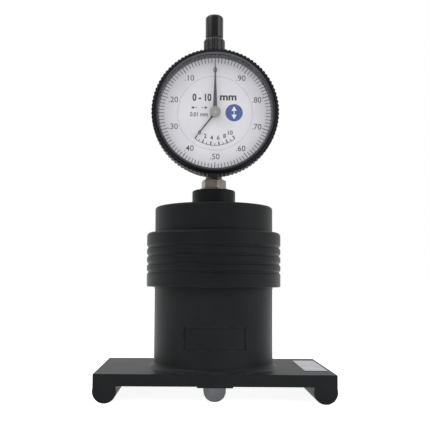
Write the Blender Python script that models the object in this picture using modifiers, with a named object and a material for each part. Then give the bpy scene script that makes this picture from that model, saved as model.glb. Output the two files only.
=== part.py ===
"""Screen tension gauge: a spring-loaded measuring bar between two feet, read by a dial gauge on top.

Metres, +Z up. The origin is on the body's axis, at the height of the feet. The dial faces -Y.
Pieces of the dial gauge are drawn in a frame of their own: local X to the right and local Y up,
as seen from the front, and local Z forwards. The empty dial_frame stands that frame upright.
"""

import math

import bmesh
import bpy
from mathutils import Vector

# Clearances
SEAT_GAP = 0.0003
RUNNING_GAP = 0.00005
CUT_OVERRUN = 0.001
WELD_DISTANCE = 0.000002
MM_PER_METRE = 1000

# Facets and rounding
BODY_SEGMENTS = 32
DIAL_SEGMENTS = 40
PLATE_SEGMENTS = 24
ROD_SEGMENTS = 16
PIN_SEGMENTS = 12
CORNER_STEPS = 2
BEVEL_ANGLE_DEG = 40
FLAT_ANGLE = math.radians(0.01)

# Base plate and feet
BASE_WIDTH = 0.1075
BASE_MARGIN = 0.0002
PLATE_THICKNESS = 0.0054
PLATE_UNDERSIDE = 0.0075
FOOT_WIDTH = 0.0102
FOOT_BEAD_RADIUS = 0.0053
FOOT_FACETS = 13
PAD_WIDTH = 0.0158
PAD_HEIGHT = 0.0006
BASE_EDGE_BREAK = 0.0003

# Measuring bar and its travel
TRAVEL = 0.004
BAR_WIDTH = 0.010
BAR_SETBACK = 0.0050
BAR_FACETS = 11
BAR_EDGE_BREAK = 0.0003

# Plunger rod, guide pins and bushes
ROD_RADIUS = 0.004
ROD_STUD_RADIUS = 0.0024
ROD_STUD_DEPTH = 0.0040
GUIDE_PIN_RADIUS = 0.0015
GUIDE_PIN_INSET = 0.0115
GUIDE_PIN_REACH = 0.0045
BUSH_RADIUS = 0.007
BUSH_FLANGE_RADIUS = 0.0095
BUSH_FLANGE_THICKNESS = 0.002
BUSH_EDGE = 0.0005

# Body tube, grip ring and top cover
TUBE_RADIUS = 0.0286
TUBE_WALL = 0.004
TUBE_FLOOR = 0.005
TUBE_FOOT_FLARE = 0.0004
TUBE_FOOT_HEIGHT = 0.0012
TUBE_TOP = 0.0685
PANEL_WIDTH = 0.0277
PANEL_HEIGHT = 0.0109
PANEL_CENTRE = 0.0286
PANEL_DEPTH = 0.0004
RING_STEP = 0.0039
RING_BOTTOM = 0.0509
RING_TOP = 0.0768
RING_TOP_ROUND = 0.0022
RING_EDGE = 0.0006
GROOVE_COUNT = 4
GROOVE_TOP = 0.0697
GROOVE_PITCH = 0.00395
GROOVE_MOUTH = 0.0019
GROOVE_FLOOR = 0.0007
GROOVE_DEPTH = 0.0007
COVER_STEP = 0.00015
COVER_TOP = 0.0893
COVER_ROOF = 0.004
COVER_ROUND = 0.0012
NECK_RADIUS = 0.0105
NECK_TOP = 0.0977
NECK_ROUND = 0.0010
NECK_BORE_RADIUS = 0.0068
NECK_TAPER_TOP = 0.0906
NECK_TAPER_BOTTOM = 0.0871

# Base screws
SCREW_OFFSET_X = 0.015
SCREW_OFFSET_Y = 0.012
SCREW_SHANK_RADIUS = 0.0019
SCREW_HEAD_RADIUS = 0.0036
SCREW_HEAD_HEIGHT = 0.0018
SCREW_LENGTH = 0.0095
SCREW_SOCKET_RADIUS = 0.0014
SCREW_SOCKET_DEPTH = 0.0012

# Main spring, its seat and adjuster
SEAT_RADIUS = 0.0135
SEAT_THICKNESS = 0.003
SEAT_PIN_RADIUS = 0.001
SEAT_PIN_LENGTH = 0.016
ADJUSTER_BOTTOM = 0.0600
ADJUSTER_THICKNESS = 0.0060
ADJUSTER_EDGE = 0.0006
SPANNER_HOLE_RADIUS = 0.0015
LOCK_RING_WIDTH = 0.00625
LOCK_RING_THICKNESS = 0.002
SPRING_RADIUS = 0.0105
SPRING_WIRE_RADIUS = 0.001
SPRING_LOOPS = 7
SPRING_LOOP_POINTS = 12

# Anvil on top of the rod
ROD_TOP = 0.0740
ANVIL_HEIGHT = 0.0027
ANVIL_ROUND = 0.0008
ANVIL_SHANK_RADIUS = 0.0018
ANVIL_SHANK_LENGTH = 0.005

# Stem, collet and clamp nut
STEM_RADIUS = 0.004
STEM_BOTTOM = 0.0836
STEM_EDGE = 0.0005
COLLET_TOP = 0.0936
COLLET_SLIT = 0.0008
NUT_SIDES = 6
NUT_FLATS = 0.0102
NUT_HEX_HEIGHT = 0.0042
NUT_CHAMFER = 0.0007
NUT_FLANGE_RADIUS = 0.0067
NUT_FLANGE_THICKNESS = 0.0008

# Dial gauge case and back cover, with depths counted forwards from the stem's axis
CASE_BOTTOM = 0.1052
CASE_RADIUS = 0.0277
CASE_WALL = 0.0041
CASE_FRONT = 0.0119
CASE_BACK = -0.0080
CASE_EDGE = 0.0008
BACK_COVER_THICKNESS = 0.0018
BACK_COVER_ROUND = 0.0008
BACK_SPIGOT_DEPTH = 0.0012
BACK_SCREW_RADIUS = 0.0008
BACK_SCREW_LENGTH = 0.0045
BACK_SCREW_HEAD_RADIUS = 0.0015
BACK_SCREW_HEAD_HEIGHT = 0.0008
BACK_SCREW_ANGLES_DEG = (45, 135, 225, 315)

# Bezel, crystal and dial face
BEZEL_WALL = 0.0022
BEZEL_GAP = 0.0001
BEZEL_BACK = 0.0084
BEZEL_FRONT = 0.0186
BEZEL_LIP_INSET = 0.0017
BEZEL_FACE_STEP = 0.0019
BEZEL_SHOULDER_STEP = 0.0009
KNURL_BACK = 0.0090
KNURL_FRONT = 0.0172
KNURL_COUNT = 96
KNURL_DEPTH = 0.00045
DIAL_BACK = 0.0127
DIAL_THICKNESS = 0.0005
DIAL_HOLE_RADIUS = 0.0018
DIAL_RING_WIDTH = 0.0022
DIAL_RING_THICKNESS = 0.0003
CRYSTAL_SEAT_WIDTH = 0.0007
CRYSTAL_BACK = 0.0170
CRYSTAL_THICKNESS = 0.0011

# Cap boss and dust cap
BOSS_RADIUS = 0.00525
BOSS_HEIGHT = 0.0112
BOSS_CHAMFER_HEIGHT = 0.0013
BOSS_FLUTES = 12
BOSS_FLUTE_DEPTH = 0.0004
BOSS_SHANK_RADIUS = 0.0030
BOSS_SPIGOT_RADIUS = 0.0032
BOSS_SPIGOT_HEIGHT = 0.0040
CAP_RADIUS = 0.0044
CAP_HEIGHT = 0.0114
CAP_ROUND = 0.0013
CAP_WALL = 0.0007
CAP_ROOF = 0.0022

# Spindle with its rack, contact point and pin
SPINDLE_RADIUS = 0.0024
SPINDLE_BOTTOM = 0.0822
SPINDLE_STANDOUT = 0.0012
CONTACT_BALL_RADIUS = 0.0014
CONTACT_CONE_HEIGHT = 0.0015
CONTACT_ROUND = 0.0011
SPINDLE_PIN_RADIUS = 0.0008
SPINDLE_PIN_DROP = 0.002
SPINDLE_PIN_DEPTH = 0.0012
RACK_PITCH = 0.000625
RACK_TEETH = 23
RACK_PITCH_LINE = 0.0016

# Gear train
PRESSURE_ANGLE = math.radians(20)
ADDENDUM_SHARE = 0.8
DEDENDUM_SHARE = 1.25
VALLEY_SHARE = 1.6
TIP_LAND_SHARE = 0.4
TOOTH_PLAY = 0.00005
RACK_PINION_TEETH = 16
WHEEL_TEETH = 100
CENTRE_PINION_TEETH = 10
TRAIN_MARGIN = 0.00244
COUNTER_PINION_TEETH = 12
COUNTER_WHEEL_TEETH = 57
ARBOR_RADIUS = 0.00075
CENTRE_ARBOR_RADIUS = 0.0006
SLEEVE_WALL = 0.0004
WHEEL_FRONT = 0.0058
WHEEL_THICKNESS = 0.0006
CENTRE_PINION_FRONT = 0.0063
CENTRE_PINION_LENGTH = 0.0016
COUNTER_WHEEL_FRONT = 0.0080
COUNTER_WHEEL_THICKNESS = 0.0005
COUNTER_PINION_LENGTH = 0.0009
RACK_PINION_LENGTH = 0.0052
HAIRSPRING_FRONT = 0.0070
HAIRSPRING_WIDTH = 0.0007
HAIRSPRING_WALL = 0.00018
HAIRSPRING_PITCH = 0.0008
HAIRSPRING_TURNS = 3
HAIRSPRING_TURN_POINTS = 12

# Movement plates and pillars
PLATE_MARGIN = SEAT_GAP
REAR_PLATE_FRONT = -0.0042
REAR_PLATE_THICKNESS = 0.0010
MIDDLE_PLATE_FRONT = 0.0043
MIDDLE_PLATE_THICKNESS = 0.0010
FRONT_PLATE_FRONT = 0.0101
FRONT_PLATE_THICKNESS = 0.0008
PILLAR_RADIUS = 0.0012
PILLAR_INSET = 0.0036
PILLAR_ANGLES_DEG = (340, 120, 200)

# Guide bar and return spring of the spindle
GUIDE_BAR_X = 0.0042
GUIDE_BAR_THICKNESS = 0.0012
GUIDE_BAR_HEIGHT = 0.0160
GUIDE_BAR_DEPTH = 0.0060
RETURN_SPRING_X = 0.0075
RETURN_SPRING_RADIUS = 0.0010
RETURN_SPRING_WIRE_RADIUS = 0.00022
RETURN_SPRING_LOOPS = 6
RETURN_SPRING_LOOP_POINTS = 9
ANCHOR_PIN_INSET = 0.0066
ANCHOR_PIN_RADIUS = 0.0008

# Hands
HAND_THICKNESS = 0.00025
POINTER_BACK = 0.0149
POINTER_CLEARANCE = 0.0013
POINTER_ROOT_WIDTH = 0.0022
POINTER_TIP_WIDTH = 0.00030
HUB_RADIUS = 0.00255
HUB_BACK = 0.0152
HUB_FRONT = 0.0166
HUB_ROUND = 0.0003
COUNTER_HAND_BACK = 0.0138
COUNTER_HAND_LENGTH = 0.0152
COUNTER_HAND_WIDTH = 0.0009
COUNTER_HAND_BOSS_RADIUS = 0.0019
COUNTER_ZERO_DEG = 37.8

# Sizes that follow from the ones above
BASE_DEPTH = 2 * (TUBE_RADIUS + TUBE_FOOT_FLARE + BASE_MARGIN)
GUIDE_PIN_OFFSET = BASE_DEPTH / 2 - GUIDE_PIN_INSET
PLATE_TOP = PLATE_UNDERSIDE + PLATE_THICKNESS
PAD_BOTTOM = PLATE_UNDERSIDE - PAD_HEIGHT
BAR_TOP = PAD_BOTTOM - SEAT_GAP
TUBE_BOTTOM = PLATE_TOP + SEAT_GAP
FLOOR_TOP = TUBE_BOTTOM + TUBE_FLOOR
TUBE_BORE = TUBE_RADIUS - TUBE_WALL
RING_RADIUS = TUBE_RADIUS + RING_STEP
COVER_RADIUS = TUBE_RADIUS - COVER_STEP
LOCK_RING_BORE = TUBE_BORE - LOCK_RING_WIDTH
SPANNER_HOLE_OFFSET = (BUSH_FLANGE_RADIUS + LOCK_RING_BORE) / 2
LOWER_BUSH_FLANGE = FLOOR_TOP + SEAT_GAP
LOWER_BUSH_TOP = LOWER_BUSH_FLANGE + BUSH_FLANGE_THICKNESS
SEAT_BOTTOM = LOWER_BUSH_TOP + TRAVEL + SEAT_GAP
SEAT_TOP = SEAT_BOTTOM + SEAT_THICKNESS
ADJUSTER_TOP = ADJUSTER_BOTTOM + ADJUSTER_THICKNESS
COVER_BOTTOM = TUBE_TOP + SEAT_GAP
NUT_SEAT = NECK_TOP + SEAT_GAP
DIAL_CENTRE = CASE_BOTTOM + CASE_RADIUS
CASE_BORE = CASE_RADIUS - CASE_WALL
STEM_TOP = CASE_BOTTOM + CASE_WALL - SEAT_GAP
PILLAR_CIRCLE_RADIUS = CASE_BORE - PILLAR_INSET
RACK_MODULE = RACK_PITCH / math.pi
TRAIN_MODULES = WHEEL_TEETH + CENTRE_PINION_TEETH / 2 + ADDENDUM_SHARE
FINE_MODULE = (CASE_BORE - TRAIN_MARGIN) / TRAIN_MODULES
RACK_PINION_PITCH_RADIUS = RACK_PINION_TEETH * RACK_MODULE / 2
CENTRE_DISTANCE = (WHEEL_TEETH + CENTRE_PINION_TEETH) * FINE_MODULE / 2
COUNTER_MODULE = 2 * CENTRE_DISTANCE / (COUNTER_PINION_TEETH + COUNTER_WHEEL_TEETH)
RACK_ARBOR_X = -(RACK_PITCH_LINE + RACK_PINION_PITCH_RADIUS)
RACK_ARBOR_DROP = math.sqrt(CENTRE_DISTANCE**2 - RACK_ARBOR_X**2)
RACK_ARBOR_Z = DIAL_CENTRE - RACK_ARBOR_DROP
MESH_ANGLE = math.atan2(RACK_ARBOR_DROP, -RACK_ARBOR_X)
SLEEVE_BORE = CENTRE_ARBOR_RADIUS + RUNNING_GAP
SLEEVE_RADIUS = SLEEVE_BORE + SLEEVE_WALL
BEZEL_BORE = CASE_RADIUS + BEZEL_GAP
BEZEL_RADIUS = CASE_RADIUS + BEZEL_WALL
BEZEL_LIP_RADIUS = CASE_RADIUS - BEZEL_LIP_INSET
BEZEL_FACE_RADIUS = BEZEL_RADIUS - BEZEL_FACE_STEP
BEZEL_SHOULDER_RADIUS = BEZEL_RADIUS - BEZEL_SHOULDER_STEP
DIAL_RADIUS = CASE_RADIUS - SEAT_GAP
DIAL_RING_BORE = DIAL_RADIUS - DIAL_RING_WIDTH
CRYSTAL_RADIUS = BEZEL_LIP_RADIUS + CRYSTAL_SEAT_WIDTH
POINTER_LENGTH = BEZEL_LIP_RADIUS - POINTER_CLEARANCE
CONTACT_TIP = ROD_TOP + SEAT_GAP + ANVIL_HEIGHT + SEAT_GAP
BOSS_BOTTOM = DIAL_CENTRE + CASE_RADIUS + SEAT_GAP
BOSS_TOP = BOSS_BOTTOM + BOSS_HEIGHT
BOSS_SHOULDER = BOSS_TOP + BOSS_CHAMFER_HEIGHT
CAP_BOTTOM = BOSS_SHOULDER + SEAT_GAP
CAP_TOP = CAP_BOTTOM + CAP_HEIGHT
SPINDLE_TOP = BOSS_SHOULDER + BOSS_SPIGOT_HEIGHT + SPINDLE_STANDOUT
SPINDLE_PIN_Z = DIAL_CENTRE - SPINDLE_PIN_DROP
ANCHOR_PIN_DROP = CASE_BORE - ANCHOR_PIN_INSET
ANCHOR_PIN_Z = DIAL_CENTRE - ANCHOR_PIN_DROP
PIN_RUN_END = RETURN_SPRING_X + RETURN_SPRING_RADIUS

FINISHES = {
    "black_enamel": ((0.020, 0.021, 0.022), 0.45, 0.0),
    "black_anodised": ((0.015, 0.015, 0.016), 0.35, 0.2),
    "bright_steel": ((0.62, 0.62, 0.62), 0.25, 1.0),
    "ground_aluminium": ((0.55, 0.55, 0.56), 0.4, 1.0),
    "spring_steel": ((0.42, 0.42, 0.43), 0.35, 1.0),
    "bronze": ((0.55, 0.36, 0.17), 0.35, 1.0),
    "brass": ((0.72, 0.55, 0.25), 0.3, 1.0),
    "dial_white": ((0.80, 0.80, 0.84), 0.5, 0.0),
    "clear_glass": ((0.95, 0.96, 0.97), 0.05, 0.0),
    "hand_black": ((0.03, 0.03, 0.035), 0.4, 0.0),
}

parts = bpy.data.collections.new("screen_tension_gauge")
cutters = bpy.data.collections.new("cutters")


def clear_scene():
    for thing in list(bpy.data.objects):
        bpy.data.objects.remove(thing, do_unlink=True)
    for group in (parts, cutters):
        bpy.context.scene.collection.children.link(group)


def finish(thing, slot):
    """Gives a piece a material of its own, in the named finish."""
    colour, roughness, metallic = FINISHES[slot]
    material = bpy.data.materials.new(thing.name + "_" + slot)
    material.use_nodes = True
    shader = material.node_tree.nodes["Principled BSDF"]
    shader.inputs["Base Color"].default_value = (*colour, 1.0)
    shader.inputs["Roughness"].default_value = roughness
    shader.inputs["Metallic"].default_value = metallic
    thing.data.materials.clear()
    thing.data.materials.append(material)
    thing.data.shade_smooth()
    return thing


def frame_empty(name, place=(0, 0, 0), turn=(0, 0, 0), parent=None):
    empty = bpy.data.objects.new(name, None)
    empty.location = place
    empty.rotation_euler = turn
    empty.parent = parent
    parts.objects.link(empty)
    return empty


def add_object(name, mesh, parent=None, place=(0, 0, 0), turn=(0, 0, 0), group=parts):
    thing = bpy.data.objects.new(name, mesh)
    thing.parent = parent
    thing.location = place
    thing.rotation_euler = turn
    group.objects.link(thing)
    if group is cutters:
        thing.hide_render = True
        thing.display_type = "WIRE"
    return thing


def rounded_outline(corners, closed):
    """The outline through corners (a, b) or (a, b, radius), where a radius rounds that corner."""
    points = []
    count = len(corners)
    for k, corner in enumerate(corners):
        here = Vector(corner[:2])
        inner = closed or 0 < k < count - 1
        if len(corner) < 3 or not inner:
            points.append(here)
            continue
        radius = corner[2]
        back = (Vector(corners[k - 1][:2]) - here).normalized()
        ahead = (Vector(corners[(k + 1) % count][:2]) - here).normalized()
        half = back.angle(ahead) / 2
        centre = here + (back + ahead).normalized() * radius / math.sin(half)
        start = here + back * radius / math.tan(half) - centre
        end = here + ahead * radius / math.tan(half) - centre
        sweep = start.angle(end) * (1 if start.cross(end) > 0 else -1)
        for step in range(CORNER_STEPS + 1):
            angle = sweep * step / CORNER_STEPS
            cos, sin = math.cos(angle), math.sin(angle)
            points.append(centre + Vector((start.x * cos - start.y * sin, start.x * sin + start.y * cos)))
    return points


def turned(name, corners, closed=False, segments=BODY_SEGMENTS, **where):
    """A turned piece about local Z, with a facet's middle on local X.

    Its profile (radius, height) runs down the outer side.
    """
    outline = rounded_outline(corners, closed)
    count = len(outline)
    edges = [(k, (k + 1) % count) for k in range(count if closed else count - 1)]
    half_facet = math.pi / segments
    across, along = math.cos(half_facet), math.sin(half_facet)
    mesh = bpy.data.meshes.new(name)
    mesh.from_pydata([(p.x * across, p.x * along, p.y) for p in outline], edges, [])
    thing = add_object(name, mesh, **where)
    screw = thing.modifiers.new("Turn", "SCREW")
    screw.steps = screw.render_steps = segments
    screw.use_merge_vertices = True
    screw.merge_threshold = WELD_DISTANCE
    screw.use_smooth_shade = True
    weld = thing.modifiers.new("Weld", "WELD")
    weld.merge_threshold = WELD_DISTANCE
    return thing


def rod_profile(radius, low, high):
    return [(0, high), (radius, high), (radius, low), (0, low)]


def ring_profile(bore, radius, low, high):
    return [(bore, high), (radius, high), (radius, low), (bore, low)]


def circle(radius, segments, centre=(0, 0)):
    angles = [math.pi * (2 * k + 1) / segments for k in range(segments)]
    return [(centre[0] + radius * math.cos(a), centre[1] + radius * math.sin(a)) for a in angles]


def star_outline(count, first_radius, second_radius):
    """An outline that zigzags between two radii, count times round."""
    step = math.pi / count
    places = [(second_radius if k % 2 else first_radius, step * k) for k in range(2 * count)]
    return [(radius * math.cos(angle), radius * math.sin(angle)) for radius, angle in places]


def mesh_from_curve(name, curve):
    """The closed mesh that a curve's bevel or extrusion makes, with its caps welded on."""
    draft = bpy.data.objects.new(name + "_draft", curve)
    parts.objects.link(draft)
    bpy.context.view_layer.update()
    graph = bpy.context.evaluated_depsgraph_get()
    mesh = bpy.data.meshes.new_from_object(draft.evaluated_get(graph))
    bpy.data.objects.remove(draft, do_unlink=True)
    shape = bmesh.new()
    shape.from_mesh(mesh)
    bmesh.ops.remove_doubles(shape, verts=shape.verts, dist=WELD_DISTANCE)
    bmesh.ops.dissolve_limit(shape, angle_limit=FLAT_ANGLE, verts=shape.verts, edges=shape.edges)
    bmesh.ops.recalc_face_normals(shape, faces=shape.faces)
    shape.to_mesh(mesh)
    shape.free()
    mesh.name = name
    return mesh


def flat_piece(name, loops, back, front, **where):
    """A flat outline in local X and Y, with holes as further loops, from back to front along local Z."""
    curve = bpy.data.curves.new(name, "CURVE")
    curve.dimensions = "2D"
    curve.fill_mode = "BOTH"
    curve.extrude = (front - back) / 2
    for loop in loops:
        spline = curve.splines.new("POLY")
        spline.points.add(len(loop) - 1)
        for point, (x, y) in zip(spline.points, loop):
            point.co = (x, y, 0, 1)
        spline.use_cyclic_u = True
    mesh = mesh_from_curve(name, curve)
    for vertex in mesh.vertices:
        vertex.co.z += (front + back) / 2
    return add_object(name, mesh, **where)


def wire_piece(name, points, radius, **where):
    """A round wire through the points, as one unbroken tube with closed ends."""
    curve = bpy.data.curves.new(name, "CURVE")
    curve.dimensions = "3D"
    curve.bevel_depth = radius
    curve.bevel_resolution = 1
    curve.use_fill_caps = True
    spline = curve.splines.new("POLY")
    spline.points.add(len(points) - 1)
    for point, place in zip(spline.points, points):
        point.co = (*place, 1)
    return add_object(name, mesh_from_curve(name, curve), **where)


def coil_points(radius, loops, loop_points, low, high):
    """Points along a helix about local Z, from low to high."""
    count = loops * loop_points
    step = 2 * math.pi / loop_points
    rise = (high - low) / count
    turns = [step * k for k in range(count + 1)]
    return [(radius * math.cos(a), radius * math.sin(a), low + rise * k) for k, a in enumerate(turns)]


def least_coil_gap(points, wire_radius, loop_points):
    """The least space between the wire of one loop and the next, in metres."""
    half = loop_points // 2
    spans = [
        (Vector(a) - Vector(b)).length
        for k, a in enumerate(points)
        for b in points[k + half:k + 2 * loop_points]
    ]
    return min(spans) - 2 * wire_radius


def bevel(thing, width):
    rounding = thing.modifiers.new("Edge break", "BEVEL")
    rounding.width = width
    rounding.segments = 1
    rounding.limit_method = "ANGLE"
    rounding.angle_limit = math.radians(BEVEL_ANGLE_DEG)
    return thing


def boolean(thing, other, operation="DIFFERENCE", solver="EXACT"):
    change = thing.modifiers.new(other.name, "BOOLEAN")
    change.operation = operation
    change.solver = solver
    change.object = other
    return thing


def cut_cylinder(thing, radius, low, high, solver="EXACT", **where):
    """Cuts a round hole along the local Z of its place and turn."""
    name = thing.name + "_hole_" + str(len(thing.modifiers))
    where.setdefault("segments", ROD_SEGMENTS)
    tool = turned(name, rod_profile(radius, low, high), group=cutters, **where)
    return boolean(thing, tool, solver=solver)


def box_tool(name, low, high, parent=None):
    """A box between two corners, as a cutter."""
    mesh = bpy.data.meshes.new(name)
    shape = bmesh.new()
    bmesh.ops.create_cube(shape, size=1)
    low, high = Vector(low), Vector(high)
    bmesh.ops.scale(shape, vec=high - low, verts=shape.verts)
    bmesh.ops.translate(shape, vec=(high + low) / 2, verts=shape.verts)
    shape.to_mesh(mesh)
    shape.free()
    return add_object(name, mesh, parent=parent, group=cutters)


def half_round(centre_x, half_width, bead_radius, facets):
    """A rounded foot, from its right-hand side down and up again, with one flat facet on the ground."""
    start = math.acos(min(half_width / bead_radius, 1))
    step = (math.pi + 2 * start) / facets
    height = bead_radius * math.cos(step / 2)
    angles = [start - step * k for k in range(facets + 1)]
    return [(centre_x + bead_radius * math.cos(a), height + bead_radius * math.sin(a)) for a in angles]


def involute(radius, base):
    roll = math.sqrt(max((radius / base) ** 2 - 1, 0))
    return roll - math.atan(roll)


def tooth_row(teeth, phase, tooth_points):
    """The outline of a gear from one tooth's points (radius, angle). One tooth is centred on the phase."""
    outline = []
    for tooth in range(teeth):
        middle = phase + 2 * math.pi * tooth / teeth
        for radius, angle in tooth_points:
            outline.append((radius * math.cos(middle + angle), radius * math.sin(middle + angle)))
    return outline


def pinion_outline(teeth, module, phase):
    """A pinion's outline, with straight flanks between the root and the tip of an involute."""
    pitch = teeth * module / 2
    base = pitch * math.cos(PRESSURE_ANGLE)
    at_pitch = math.pi / (2 * teeth) - TOOTH_PLAY / (2 * pitch) + involute(pitch, base)
    radii = (pitch - DEDENDUM_SHARE * module, pitch + ADDENDUM_SHARE * module)
    (root, half_root), (tip, half_tip) = [(r, at_pitch - involute(max(r, base), base)) for r in radii]
    tooth = [(root, -half_root), (tip, -half_tip), (tip, half_tip), (root, half_root)]
    return tooth_row(teeth, phase, tooth)


def wheel_outline(teeth, module, phase):
    """A fine wheel's outline, with pointed valleys between its teeth."""
    pitch = teeth * module / 2
    valley = pitch - VALLEY_SHARE * module
    tip = pitch + ADDENDUM_SHARE * module
    half_land = TIP_LAND_SHARE * module / (2 * tip)
    return tooth_row(teeth, phase, [(valley, -math.pi / teeth), (tip, -half_land), (tip, half_land)])


def rack_cutter(parent):
    """All that is milled away beside the rack, so that a tooth is centred on the rack pinion's height."""
    tip = RACK_PITCH_LINE + ADDENDUM_SHARE * RACK_MODULE
    root = RACK_PITCH_LINE - DEDENDUM_SHARE * RACK_MODULE
    slope = math.tan(PRESSURE_ANGLE)
    half_tip = RACK_PITCH / 4 - TOOTH_PLAY / 2 - (tip - RACK_PITCH_LINE) * slope
    half_root = RACK_PITCH / 4 - TOOTH_PLAY / 2 + (RACK_PITCH_LINE - root) * slope
    first = -(RACK_TEETH // 2)
    outline = []
    for tooth in range(first, first + RACK_TEETH):
        middle = RACK_ARBOR_Z + tooth * RACK_PITCH
        outline += [
            (-root, middle - half_root),
            (-tip, middle - half_tip),
            (-tip, middle + half_tip),
            (-root, middle + half_root),
        ]
    outside = -(SPINDLE_RADIUS + CUT_OVERRUN)
    outline.append((outside, outline[-1][1]))
    outline.append((outside, outline[0][1]))
    reach = SPINDLE_RADIUS + CUT_OVERRUN
    turn = (math.pi / 2, 0, 0)
    return flat_piece("rack_cutter", [outline], -reach, reach, parent=parent, turn=turn, group=cutters)


def base_outline():
    """The base plate seen from the front: the plate, a foot under each end and the pad between them."""
    half = BASE_WIDTH / 2
    foot_x = half - FOOT_WIDTH / 2
    foot = half_round(foot_x, FOOT_WIDTH / 2, FOOT_BEAD_RADIUS, FOOT_FACETS)
    right = [(half, PLATE_TOP)] + foot
    right += [(half - FOOT_WIDTH, PLATE_UNDERSIDE)]
    right += [(PAD_WIDTH / 2, PLATE_UNDERSIDE), (PAD_WIDTH / 2, PAD_BOTTOM)]
    return right + [(-x, z) for x, z in reversed(right)]


def guide_pin_places():
    return {"guide_pin_front": -GUIDE_PIN_OFFSET, "guide_pin_rear": GUIDE_PIN_OFFSET}


def base_screw_places():
    return [(sx * SCREW_OFFSET_X, sy * SCREW_OFFSET_Y) for sx in (-1, 1) for sy in (-1, 1)]


def base_plate():
    half = BASE_DEPTH / 2
    plate = flat_piece("base_plate", [base_outline()], -half, half, turn=(math.pi / 2, 0, 0))
    bevel(plate, BASE_EDGE_BREAK)
    low, high = PAD_BOTTOM - CUT_OVERRUN, PLATE_TOP + CUT_OVERRUN
    # The broken edges and the pad's corners lie in one line there, where the exact solver can leave gaps.
    tool = {"solver": "MANIFOLD"}
    cut_cylinder(plate, BUSH_RADIUS + SEAT_GAP, low, high, **tool)
    for y in guide_pin_places().values():
        small = {"place": (0, y, 0), "segments": PIN_SEGMENTS}
        cut_cylinder(plate, GUIDE_PIN_RADIUS + RUNNING_GAP, low, high, **small, **tool)
    for k, (x, y) in enumerate(base_screw_places()):
        sink = turned(
            "countersink_" + str(k + 1),
            [
                (0, high),
                (SCREW_SHANK_RADIUS + SEAT_GAP, high),
                (SCREW_SHANK_RADIUS + SEAT_GAP, PLATE_UNDERSIDE + SEAT_GAP + SCREW_HEAD_HEIGHT),
                (SCREW_HEAD_RADIUS + SEAT_GAP, PLATE_UNDERSIDE + SEAT_GAP),
                (SCREW_HEAD_RADIUS + SEAT_GAP, low),
                (0, low),
            ],
            segments=PIN_SEGMENTS,
            place=(x, y, 0),
            group=cutters,
        )
        boolean(plate, sink, **tool)
    finish(plate, "black_enamel")


def base_screws():
    bottom = PLATE_UNDERSIDE + SEAT_GAP
    for k, (x, y) in enumerate(base_screw_places()):
        screw = turned(
            "base_screw_" + str(k + 1),
            [
                (0, bottom + SCREW_LENGTH),
                (SCREW_SHANK_RADIUS, bottom + SCREW_LENGTH),
                (SCREW_SHANK_RADIUS, bottom + SCREW_HEAD_HEIGHT),
                (SCREW_HEAD_RADIUS, bottom),
                (SCREW_SOCKET_RADIUS, bottom),
                (SCREW_SOCKET_RADIUS, bottom + SCREW_SOCKET_DEPTH),
                (0, bottom + SCREW_SOCKET_DEPTH),
            ],
            segments=PIN_SEGMENTS,
            place=(x, y, 0),
        )
        finish(screw, "spring_steel")


def body_tube():
    tube = turned(
        "body_tube",
        [
            (TUBE_BORE, TUBE_TOP),
            (TUBE_RADIUS, TUBE_TOP),
            (TUBE_RADIUS, TUBE_BOTTOM + TUBE_FOOT_HEIGHT),
            (TUBE_RADIUS + TUBE_FOOT_FLARE, TUBE_BOTTOM + TUBE_FOOT_HEIGHT / 2),
            (TUBE_RADIUS + TUBE_FOOT_FLARE, TUBE_BOTTOM),
            (BUSH_RADIUS + SEAT_GAP, TUBE_BOTTOM),
            (BUSH_RADIUS + SEAT_GAP, FLOOR_TOP),
            (TUBE_BORE, FLOOR_TOP),
        ],
        closed=True,
    )
    low, high = TUBE_BOTTOM - CUT_OVERRUN, FLOOR_TOP + CUT_OVERRUN
    for y in guide_pin_places().values():
        small = {"place": (0, y, 0), "segments": PIN_SEGMENTS}
        cut_cylinder(tube, GUIDE_PIN_RADIUS + SEAT_GAP, low, high, **small)
    for x, y in base_screw_places():
        small = {"place": (x, y, 0), "segments": PIN_SEGMENTS}
        cut_cylinder(tube, SCREW_SHANK_RADIUS + SEAT_GAP, low, high, **small)
    panel = box_tool(
        "panel_cutter",
        (-PANEL_WIDTH / 2, -TUBE_RADIUS - CUT_OVERRUN, PANEL_CENTRE - PANEL_HEIGHT / 2),
        (PANEL_WIDTH / 2, -TUBE_BORE, PANEL_CENTRE + PANEL_HEIGHT / 2),
    )
    cut_cylinder(panel, TUBE_RADIUS - PANEL_DEPTH, TUBE_BOTTOM, TUBE_TOP, segments=BODY_SEGMENTS)
    boolean(tube, panel)
    finish(tube, "black_enamel")


def grip_ring():
    """The ring over the joint of tube and cover, with its row of grooves."""
    bore = TUBE_RADIUS + SEAT_GAP
    corners = [(bore, RING_TOP), (RING_RADIUS, RING_TOP, RING_TOP_ROUND)]
    for groove in range(GROOVE_COUNT):
        middle = GROOVE_TOP - groove * GROOVE_PITCH
        corners += [
            (RING_RADIUS, middle + GROOVE_MOUTH / 2),
            (RING_RADIUS - GROOVE_DEPTH, middle + GROOVE_FLOOR / 2),
            (RING_RADIUS - GROOVE_DEPTH, middle - GROOVE_FLOOR / 2),
            (RING_RADIUS, middle - GROOVE_MOUTH / 2),
        ]
    corners += [
        (RING_RADIUS, RING_BOTTOM + RING_EDGE),
        (RING_RADIUS - RING_EDGE, RING_BOTTOM),
        (bore, RING_BOTTOM),
    ]
    finish(turned("grip_ring", corners, closed=True), "black_anodised")


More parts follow.
